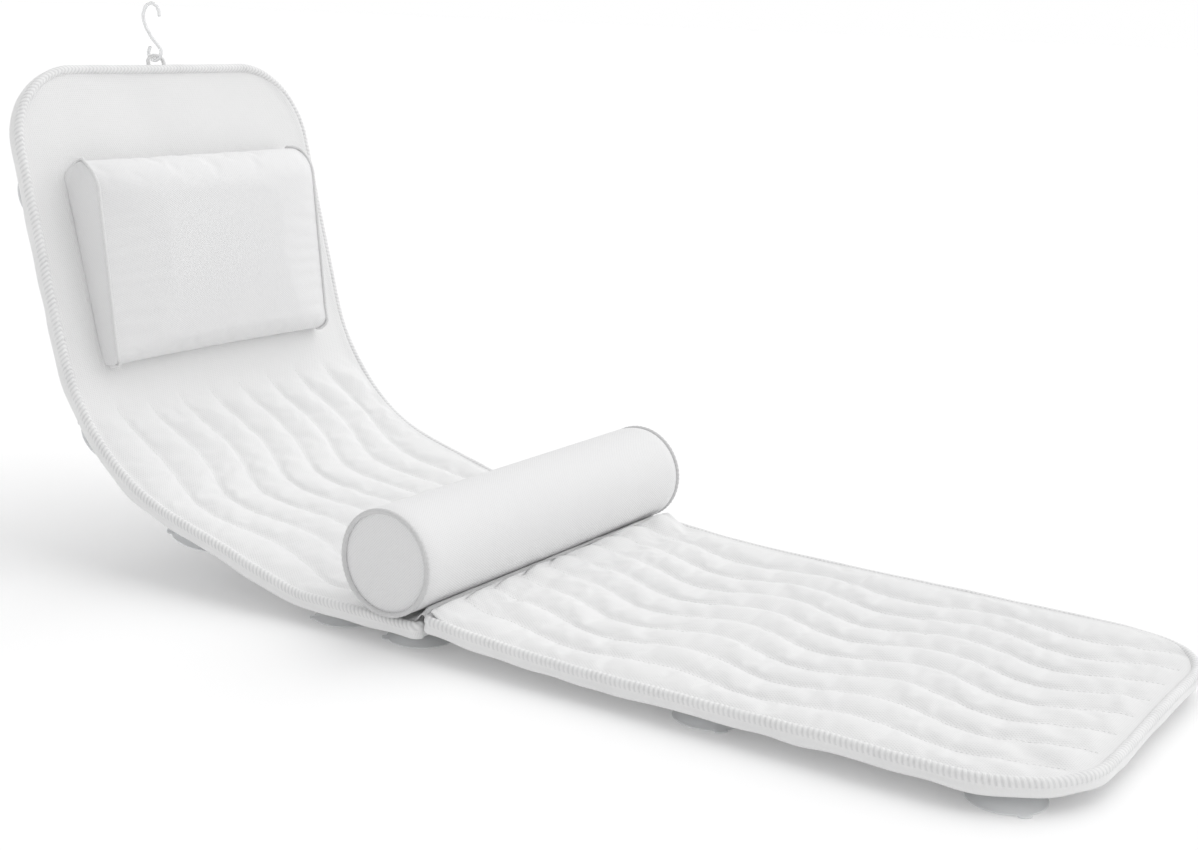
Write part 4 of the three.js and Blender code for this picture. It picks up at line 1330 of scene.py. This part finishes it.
def fold_tape_piece():
    """A tape from under the leg's quilting, down its raised end and over the back's rolled edge."""
    on_leg = [leg.at(s, 0, h) for s, h in ((0.0090, 0.0113), (0.0068, 0.0114), (0.0045, 0.0115), (0.0020, 0.0112))]
    line = [(p[0] - FOLD_X, p[2]) for p in on_leg]
    line += [(0.0012, 0.0334), (0.0004, 0.0360), (-0.0010, 0.0374), (-0.0027, 0.0376), (-0.0044, 0.0363), (-0.0060, 0.0336),
             (-0.0075, 0.0303), (-0.0094, 0.0272), (-0.0125, 0.0249)]
    line = resample(catmull(line, 6), 0.0007)
    ahead = np.gradient(line, axis=0)
    ahead /= np.linalg.norm(ahead, axis=1, keepdims=True)
    out = np.stack([ahead[:, 1], -ahead[:, 0]], -1)
    out *= np.sign(out[:1, 1])
    sides = np.linspace(-0.1815, 0.1815, 129)
    place, y = np.meshgrid(np.arange(len(line)), sides, indexing="ij")
    run = length_along(line)[place]
    layers = []
    for lift in (0.0, -0.0008):
        wave = 0.00018 * ripple(run, y, 0.03, 41) + lift
        x = FOLD_X + line[place, 0] + out[place, 0] * wave
        # The tape's ends turn down to the rolled edges
        turned = smooth((np.abs(y) - 0.1725) / 0.009) * np.clip((line[place, 1] - 0.025) / 0.012, 0, 1)
        z = line[place, 1] + out[place, 1] * wave - 0.0042 * turned
        layers.append(np.stack([x, y, z], -1).reshape(-1, 3))
    rows, columns = y.shape
    count = rows * columns
    faces = [tuple(f) for f in grid_faces(rows, columns)] + [tuple(f[::-1]) for f in grid_faces(rows, columns, start=count)]
    uv = corner_grid_uv(y, run)
    uv_low = uv.reshape(-1, 4, 2)[:, ::-1].reshape(-1, 2)
    ring = [*range(columns), *[i * columns + columns - 1 for i in range(1, rows)],
            *range(count - 2, count - columns - 1, -1), *[i * columns for i in range(rows - 2, 0, -1)]]
    for a, b in zip(ring, ring[1:] + ring[:1]):
        faces.append((a, b, b + count, a + count))
    uv = np.concatenate([uv, uv_low, np.zeros((4 * len(ring), 2))])
    obj = add_object("fold_joint_tape", make_mesh("fold_joint_tape", np.concatenate(layers), faces, uv), fold_cloth)
    fix_normals(obj.data)
    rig.replaces(obj, "fold_tape")
    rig.blend(obj, "leg_section", "back_section", start=(FOLD_X + 0.003, 0, 0.027), end=(FOLD_X - 0.004, 0, 0.027))
    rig.slot(obj, "edge_tape")
    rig.sheet(obj, flat=(0.363, float(run[-1, 0])), held="laid", rests_on=["leg_rolled_edge", "back_rolled_edge"])


fold_tape_piece()


# Pipings: a cord in a wrapped cover, with rope-like ribs

def piping_piece(name, path, side, radius, body, node, pitch=0.0032, closed=False, depth=0.00022, cloth=piping_tape):
    over, out = path_frames(path, side)
    if closed:
        over[0] = over[-1] = (over[0] + over[-1]) / 2
    run = length_along(path)
    sides = 14
    rings = []
    for k in range(sides):
        angle = 2 * math.pi * k / sides
        rib = np.abs(np.sin(math.pi * run / pitch + 0.9 * angle)) ** 0.8
        size = radius - depth + depth * 2 * (rib - 0.3)
        rings.append(path + size[:, None] * (math.cos(angle) * side + math.sin(angle) * out))
    rings = np.stack(rings, 1)
    if closed:
        rings = rings[:-1]
        run = run[:-1]
    mesh = tube_mesh(name, rings, run, 2 * math.pi * radius, closed_path=closed)
    obj = add_object(name, mesh, cloth)
    fix_normals(obj.data)
    return finish_piece(obj, body, "edge_tape", [node])


def round_path(count, radius, across):
    turned = 2 * math.pi * np.arange(count + 1) / count
    return np.stack([radius * np.cos(turned), np.full(count + 1, across), radius * np.sin(turned)], -1) + np.array(BOLSTER_PLACE)


# The rim pipings wear the darker tape, painted shade round each disc's edge.
for label, side in (("near", -1), ("far", 1)):
    path = round_path(264, BOLSTER_RADIUS - 0.0016 - 0.0012, side * (BOLSTER_HALF + 0.0008))
    sideways = np.broadcast_to(np.array([0.0, 1.0, 0.0]), path.shape)
    piping_piece(f"bolster_rim_piping_{label}", path, sideways, 0.0023, "bolster", f"bolster_piping_{label}", pitch=0.0042, closed=True,
                 depth=0.0003, cloth=rim_tape)

for label, side in (("near", -1), ("far", 1)):
    front = wedge_front(-0.0002, 0.0)
    front[:, 1] *= 1 - END_PINCH
    front = resample(front, 0.0009)
    front = front[front[:, 1] > 0.0012]
    s, rise = front[:, 0], front[:, 1]
    narrow = np.zeros(len(s))
    for distance in (s - HEADREST_LOW, HEADREST_HIGH - s):
        past = np.clip(0.010 - distance, 0, 0.010)
        narrow += 0.010 - np.sqrt(np.maximum(0.010 ** 2 - past ** 2, 0))
    across = side * (HEADREST_HALF + 0.0004 - narrow * 0.8)
    path = back.at(s, across, HEADREST_BASE + rise - 0.0020 * np.clip(1 - rise / 0.016, 0, 1))
    sideways = np.broadcast_to(np.array([0.0, 1.0, 0.0]), path.shape)
    piping_piece(f"headrest_seam_piping_{label}", path, sideways, 0.0016, "headrest", f"headrest_piping_{label}")


# Hook-and-loop strips and the headrest's flat back

def slab_on_panel(name, start, end, half, base, top, material, body, slot, node, steps=(12, 60), sheet_held="laid", rests="back_quilted_cover"):
    rows, columns = steps
    s = np.linspace(start, end, rows + 1)
    y = np.linspace(-half, half, columns + 1)
    s, y = np.meshgrid(s, y, indexing="ij")
    # Round the strip's corners
    corner = 0.004
    past_y = np.clip(np.abs(y) - (half - corner), 0, corner)
    shrink = corner - np.sqrt(np.maximum(corner ** 2 - past_y ** 2, 0))
    middle = (start + end) / 2
    room = (end - start) / 2
    s = middle + (s - middle) * (room - shrink) / room
    upper = back.at(s, y, top - 0.0001 + 0.0001 * ripple(s, y, 0.012, 51)).reshape(-1, 3)
    lower = back.at(s, y, base).reshape(-1, 3)
    count = (rows + 1) * (columns + 1)
    faces = [tuple(f) for f in grid_faces(rows + 1, columns + 1)]
    faces += [tuple(f[::-1]) for f in grid_faces(rows + 1, columns + 1, start=count)]
    uv = corner_grid_uv(y, s)
    uv_low = uv.reshape(-1, 4, 2)[:, ::-1].reshape(-1, 2)
    width = columns + 1
    ring = [*range(width), *[i * width + width - 1 for i in range(1, rows + 1)],
            *range(count - 2, count - width - 1, -1), *[i * width for i in range(rows - 1, 0, -1)]]
    for a, b in zip(ring, ring[1:] + ring[:1]):
        faces.append((a, b, b + count, a + count))
    uv = np.concatenate([uv, uv_low, np.zeros((4 * len(ring), 2))])
    obj = add_object(name, make_mesh(name, np.concatenate([upper, lower]), faces, uv), material)
    fix_normals(obj.data)
    finish_piece(obj, body, slot, [node])
    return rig.sheet(obj, flat=(2 * half, end - start), held=sheet_held, rests_on=[rests])


slab_on_panel("headrest_flat_back", HEADREST_LOW + 0.0070, HEADREST_HIGH - 0.0140, HEADREST_HALF - 0.0040,
              HEADREST_BASE, HEADREST_BASE + 0.0012, backing_cloth, "headrest", "mesh_cloth", "headrest_back_panel",
              steps=(24, 40), sheet_held="stretched", rests="headrest_filled_cover")
for level, start in (("upper", HEADREST_HIGH - 0.026 - 0.024), ("lower", HEADREST_LOW + 0.056)):
    slab_on_panel(f"headrest_loop_fleece_{level}", start, start + 0.024, 0.100, SMOOTH + 0.0003, SMOOTH + 0.0013,
                  loop_cloth, "back_section", "grip_strip", f"headrest_loop_strip_{level}")
    slab_on_panel(f"headrest_hook_bristle_{level}", start, start + 0.024, 0.100, SMOOTH + 0.0016, SMOOTH + 0.0026,
                  hook_cloth, "headrest", "grip_strip", f"headrest_hook_strip_{level}", rests="headrest_flat_back")
slab_on_panel("bolster_loop_fleece", 0.032 - 0.012, 0.032 + 0.012, 0.150, SMOOTH + 0.0003, SMOOTH + 0.0013,
              loop_cloth, "back_section", "grip_strip", "bolster_loop_strip", steps=(12, 80))


def bolster_bristle():
    rows, columns = 10, 80
    inner, outer = BOLSTER_RADIUS + 0.0003, BOLSTER_RADIUS + 0.0013
    reach = math.asin(0.012 / outer)
    angle = np.linspace(-math.pi / 2 - reach, -math.pi / 2 + reach, rows + 1)
    y = np.linspace(-0.150, 0.150, columns + 1)
    angle, y = np.meshgrid(angle, y, indexing="ij")
    layers = []
    for radius in (outer, inner):
        layers.append((np.stack([radius * np.cos(angle), y, radius * np.sin(angle)], -1) + np.array(BOLSTER_PLACE)).reshape(-1, 3))
    count = (rows + 1) * (columns + 1)
    width = columns + 1
    faces = [tuple(f) for f in grid_faces(rows + 1, width)] + [tuple(f[::-1]) for f in grid_faces(rows + 1, width, start=count)]
    ring = [*range(width), *[i * width + width - 1 for i in range(1, rows + 1)],
            *range(count - 2, count - width - 1, -1), *[i * width for i in range(rows - 1, 0, -1)]]
    for a, b in zip(ring, ring[1:] + ring[:1]):
        faces.append((a, b, b + count, a + count))
    uv = corner_grid_uv(y, angle * outer)
    uv = np.concatenate([uv, uv, np.zeros((4 * len(ring), 2))])
    obj = add_object("bolster_hook_bristle", make_mesh("bolster_hook_bristle", np.concatenate(layers), faces, uv), hook_cloth)
    fix_normals(obj.data)
    finish_piece(obj, "bolster", "grip_strip", ["bolster_hook_strip"])
    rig.sheet(obj, flat=(0.300, 0.024), held="laid", rests_on=["bolster_filled_sleeve"])


bolster_bristle()


# Suction cups and their sewn patches

def lathe_points(outline, turns, reach_of=None):
    rows = []
    for turned in turns:
        extra = reach_of(turned) if reach_of else 0.0
        rows.append([(
            (radius + (extra if at_rim else 0.0)) * math.sin(turned), height,
            (radius + (extra if at_rim else 0.0)) * math.cos(turned),
        ) for radius, height, at_rim in outline])
    return np.array(rows)


def cup_mesh():
    """A thin dome with a rolled lip, a pull tab, a neck and a mushroom head. Its axis is Y and its tab points to Z."""
    radius, wall = 0.0285, 0.0014
    top = CUP_HEIGHT - 0.0003
    outline = [(0.0003, 0.0054, 0), (0.0050, 0.0053, 0), (0.0110, 0.0047, 0), (0.0177, 0.0037, 0), (0.0226, 0.0019, 0), (0.0262, 0.0005, 0),
               (0.0272, 0.0, 0), (0.0282, 0.0, 1), (0.0285, 0.00025, 1), (0.02845, 0.0007, 1), (0.0280, 0.0010, 1),
               (0.0268, 0.0011, 0), (0.0226, 0.0034, 0), (0.0177, 0.0052, 0), (0.0120, 0.0063, 0), (0.0075, 0.0071, 0),
               (0.0044, 0.0077, 0), (0.0032, 0.0084, 0), (0.0030, 0.0094, 0), (0.0033, 0.0100, 0), (0.0050, 0.0101, 0),
               (0.0061, 0.0104, 0), (0.0062, 0.0109, 0), (0.0056, 0.0114, 0), (0.0040, 0.0117, 0), (0.0003, 0.0117, 0)]
    half = math.asin(0.0045 / radius)
    turns = np.concatenate([np.linspace(-half * 1.15, half * 1.15, 15), np.linspace(half * 1.15, 2 * math.pi - half * 1.15, 58)[1:-1]])

    def reach(turned):
        wrapped = (turned + math.pi) % (2 * math.pi) - math.pi
        return 0.0040 * float(np.sqrt(np.clip(1 - (abs(wrapped) / (half * 1.12)) ** 6, 0, 1)))

    rows = lathe_points(outline, turns, reach)
    count, size, _ = rows.shape
    faces = []
    for i in range(count):
        j = (i + 1) % count
        for k in range(size - 1):
            faces.append((i * size + k, j * size + k, j * size + k + 1, i * size + k + 1))
    faces.append(tuple(i * size for i in range(count))[::-1])
    faces.append(tuple(i * size + size - 1 for i in range(count)))
    mesh = make_mesh("cup", rows.reshape(-1, 3), faces)
    fix_normals(mesh)
    return mesh


def patch_mesh():
    """A sewn disc: a stitched flange and a shallow dish with a hole for the cup's neck. Its axis is Y."""
    outline = [(0.0034, -0.0039), (0.0070, -0.0039), (0.0105, -0.0038), (0.0118, -0.0031), (0.0124, -0.0020), (0.0130, -0.0014),
               (0.0143, -0.0013), (0.0149, -0.0011), (0.0150, -0.0007), (0.0148, -0.0003), (0.0112, -0.0003), (0.0104, -0.0014),
               (0.0098, -0.0026), (0.0090, -0.0028), (0.0034, -0.0028)]
    count = 48
    points, faces, uv = [], [], []
    for i in range(count):
        angle = 2 * math.pi * i / count
        for radius, height in outline:
            points.append((radius * math.sin(angle), height, radius * math.cos(angle)))
    size = len(outline)
    for i in range(count):
        j = (i + 1) % count
        for k in range(size):
            n = (k + 1) % size
            face = (i * size + k, j * size + k, j * size + n, i * size + n)
            faces.append(face)
            uv += [(points[f][0], points[f][2]) for f in face]
    stitch_faces = []
    for i in range(26):
        a, b = 2 * math.pi * i / 26, 2 * math.pi * (i + 0.62) / 26
        ring, quads = dash(np.array([0.0138 * math.sin(a), -0.00145, 0.0138 * math.cos(a)]),
                           np.array([0.0138 * math.sin(b), -0.00145, 0.0138 * math.cos(b)]),
                           np.array([0.0, -1.0, 0.0]), 0.0003)
        first = len(points)
        points += [tuple(p) for p in ring]
        for quad in quads:
            stitch_faces.append(tuple(q + first for q in quad))
            uv += [(0, 0)] * len(quad)
    mesh = make_mesh("patch", points, faces + stitch_faces, uv)
    fix_normals(mesh)
    return mesh


shared_cup, shared_patch = cup_mesh(), patch_mesh()
shared_cup.materials.append(clear_vinyl)
shared_patch.materials.append(backing_cloth)
LEG_CUPS = [0.248, 0.479]
BACK_CUPS = [0.027, 0.106, 0.278, 0.413, 0.640]
for label, panel, places in (("leg", leg, LEG_CUPS), ("back", back, BACK_CUPS)):
    number = 0
    for place in places:
        for sign in (-1, 1):
            number += 1
            up = panel.up(place)
            ahead = np.array([up[2], 0, -up[0]])
            basis = np.stack([ahead, up, np.cross(ahead, up)], 1)
            tab = panel.towards * (math.pi / 2 + sign * math.radians(45))
            spin = Matrix.Rotation(tab, 4, "Y")
            across = sign * (PANEL_WIDTH / 2 - 0.0385)
            for kind, mesh, height, spun in (("cup", shared_cup, -CUP_HEIGHT, spin), ("patch", shared_patch, 0.0, Matrix.Identity(4))):
                spot = Matrix.Translation(Vector(panel.at(place, across, height))) @ Matrix(basis.tolist()).to_4x4() @ spun
                if kind == "cup":
                    obj = bpy.data.objects.new(f"{label}_suction_cup_{number}", mesh)
                else:
                    obj = bpy.data.objects.new(f"{label}_sewn_patch_{number}", mesh)
                bpy.context.scene.collection.objects.link(obj)
                obj.matrix_world = spot
                if kind == "cup":
                    finish_piece(obj, f"{label}_cup_{number}", "clear_cup", [f"{label}_cup_{number}"])
                else:
                    finish_piece(obj, f"{label}_section", "mesh_cloth", [f"{label}_cup_patch_{number}"])
                    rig.sheet(obj, flat=(0.030, 0.030), held="stretched", rests_on=[f"{label}_backing_cloth"], area=0.00067)


# Hanging loop and hook

LOOP_HEIGHT = 0.009


def loop_piece():
    foot = back.length + 0.0003
    radius, height, cord = 0.010, LOOP_HEIGHT, 0.0022
    turned = np.linspace(math.pi, 0, 80)
    s = foot + cord + (height - cord) * np.sin(turned)
    y = radius * np.cos(turned)
    lead = np.linspace(foot - 0.004, foot + cord, 9)[:-1]
    s = np.concatenate([lead, s, lead[::-1]])
    y = np.concatenate([np.full(8, -radius), y, np.full(8, radius)])
    path = resample(back.at(s, y, 0.0075), 0.0005)
    run = length_along(path)
    side = np.broadcast_to(back.up(foot), path.shape)
    over, out = path_frames(path, side)
    made, faces, uvs = [], [], []
    for strand in range(3):
        angle = 2 * math.pi * (run / 0.0085 + strand / 3)
        middle = path + 0.0010 * (np.cos(angle)[:, None] * side + np.sin(angle)[:, None] * out)
        rings = []
        for k in range(8):
            around = 2 * math.pi * k / 8
            rings.append(middle + 0.00112 * (math.cos(around) * side + math.sin(around) * out))
        rings = np.stack(rings, 1)
        first = sum(len(m) for m in made)
        grid = grid_faces(len(path), 8, wrap=True, start=first)
        faces += [tuple(f) for f in grid]
        faces.append(tuple(first + np.arange(8)))
        faces.append(tuple(first + (len(path) - 1) * 8 + np.arange(8)[::-1]))
        u = np.broadcast_to(np.arange(8) / 8 * 0.007, (len(path), 8))
        v = np.broadcast_to(run[:, None], (len(path), 8))
        uvs.append(corner_grid_uv(np.array(u), np.array(v), wrap_u=0.007))
        uvs.append(np.zeros((16, 2)))
        made.append(rings.reshape(-1, 3))
    obj = add_object("hanging_cord_loop", make_mesh("hanging_cord_loop", np.concatenate(made), faces, np.concatenate(uvs)), piping_tape)
    fix_normals(obj.data)
    return finish_piece(obj, "back_section", "edge_tape", ["hanging_loop"])


loop_piece()

HOOK_SHARES = [(0.133, 0.726), (0.112, 0.837), (0.045, 0.92), (-0.072, 0.948), (-0.195, 0.89), (-0.256, 0.761),
               (-0.225, 0.607), (-0.133, 0.463), (-0.035, 0.35), (0.075, 0.262), (0.155, 0.165), (0.118, 0.05),
               (0, 0), (-0.108, 0.035), (-0.147, 0.125), (-0.09, 0.24)]


def hook_piece():
    size = 0.057
    line = catmull([(x * size, z * size) for x, z in HOOK_SHARES], 16)
    # The eye hangs on the top of the loop's cord
    base = back.at(back.length + 0.0003 + LOOP_HEIGHT, 0, 0.0075) - np.array([0, 0, 0.0042])
    path = np.stack([base[0] + line[:, 0], np.zeros(len(line)), base[2] + line[:, 1]], -1)
    path = resample(path, 0.0007)
    run = length_along(path)
    side = np.broadcast_to(np.array([0.0, 1.0, 0.0]), path.shape)
    over, out = path_frames(path, side)
    radius = np.full(len(path), 0.0017)
    for distance in (run, run[-1] - run):
        tip = np.clip(distance / 0.0017, 0, 1)
        radius = radius * np.sqrt(np.clip(1 - (1 - tip) ** 2, 0.02, 1))
    rings = []
    for k in range(16):
        angle = 2 * math.pi * k / 16
        rings.append(path + radius[:, None] * (math.cos(angle) * side + math.sin(angle) * out))
    obj = add_object("hook_wire", tube_mesh("hook_wire", np.stack(rings, 1), run, 0.0107), milky_plastic)
    fix_normals(obj.data)
    return finish_piece(obj, "hook", "hook_plastic", ["hanging_hook"])


hook_piece()


# Stage and light

def floor_look():
    nodes = Nodes("pale_floor")
    grain = nodes.noise(3.0, 2.0)
    # A lit table: it glows a little, so that shadows on it stay pale
    nodes.link(nodes.ramp(grain, [(0.3, (0.84, 0.84, 0.84)), (0.7, (0.85, 0.85, 0.85))]), nodes.shader.inputs["Base Color"])
    nodes.set(Roughness=0.9, Specular_IOR_Level=0.05, Emission_Color=(1, 1, 1, 1), Emission_Strength=0.13)
    return nodes.material


size = 60
floor = add_object("floor", make_mesh("floor", [(-size, -size, -0.0002), (size, -size, -0.0002), (size, size, -0.0002), (-size, size, -0.0002)], [(0, 1, 2, 3)]), floor_look())
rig.stage(floor)

world = bpy.data.worlds.new("studio")
bpy.context.scene.world = world
world.use_nodes = True
tree = world.node_tree
ground = tree.nodes["Background"]
coordinate = tree.nodes.new("ShaderNodeTexCoord")
split = tree.nodes.new("ShaderNodeSeparateXYZ")
tree.links.new(coordinate.outputs["Generated"], split.inputs[0])
# An even, dim room with a white band at the horizon
ramp = tree.nodes.new("ShaderNodeValToRGB")
ramp.color_ramp.elements[0].position = 0.56
ramp.color_ramp.elements[0].color = (1.0, 1.0, 1.0, 1)
ramp.color_ramp.elements[1].position = 0.62
ramp.color_ramp.elements[1].color = (0.58, 0.58, 0.585, 1)
top = ramp.color_ramp.elements.new(1.0)
top.color = (0.72, 0.72, 0.72, 1)
height = tree.nodes.new("ShaderNodeMath")
height.operation = "MULTIPLY_ADD"
height.inputs[1].default_value = 0.5
height.inputs[2].default_value = 0.5
tree.links.new(split.outputs[2], height.inputs[0])
tree.links.new(height.outputs[0], ramp.inputs[0])
tree.links.new(ramp.outputs[0], ground.inputs["Color"])
ground.inputs["Strength"].default_value = 1.0


def soft_light(name, source, spread, power):
    """A very broad far lamp: its shadows are soft, and it lights the whole floor evenly."""
    data = bpy.data.lights.new(name, "SUN")
    data.angle = math.radians(spread)
    data.energy = power
    light = bpy.data.objects.new(name, data)
    bpy.context.scene.collection.objects.link(light)
    light.rotation_euler = Vector(source).to_track_quat("Z", "Y").to_euler()
    return light


soft_light("key_softbox", (0.45, 1.00, 1.30), 84, 1.60)
bpy.context.scene.view_settings.view_transform = "Standard"
bpy.context.scene.view_settings.look = "None"

low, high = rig.bounds()
with open("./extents.json", "w") as out:
    json.dump({"cad": [list(cad_low), list(cad_high)], "visual": [list(low), list(high)]}, out)
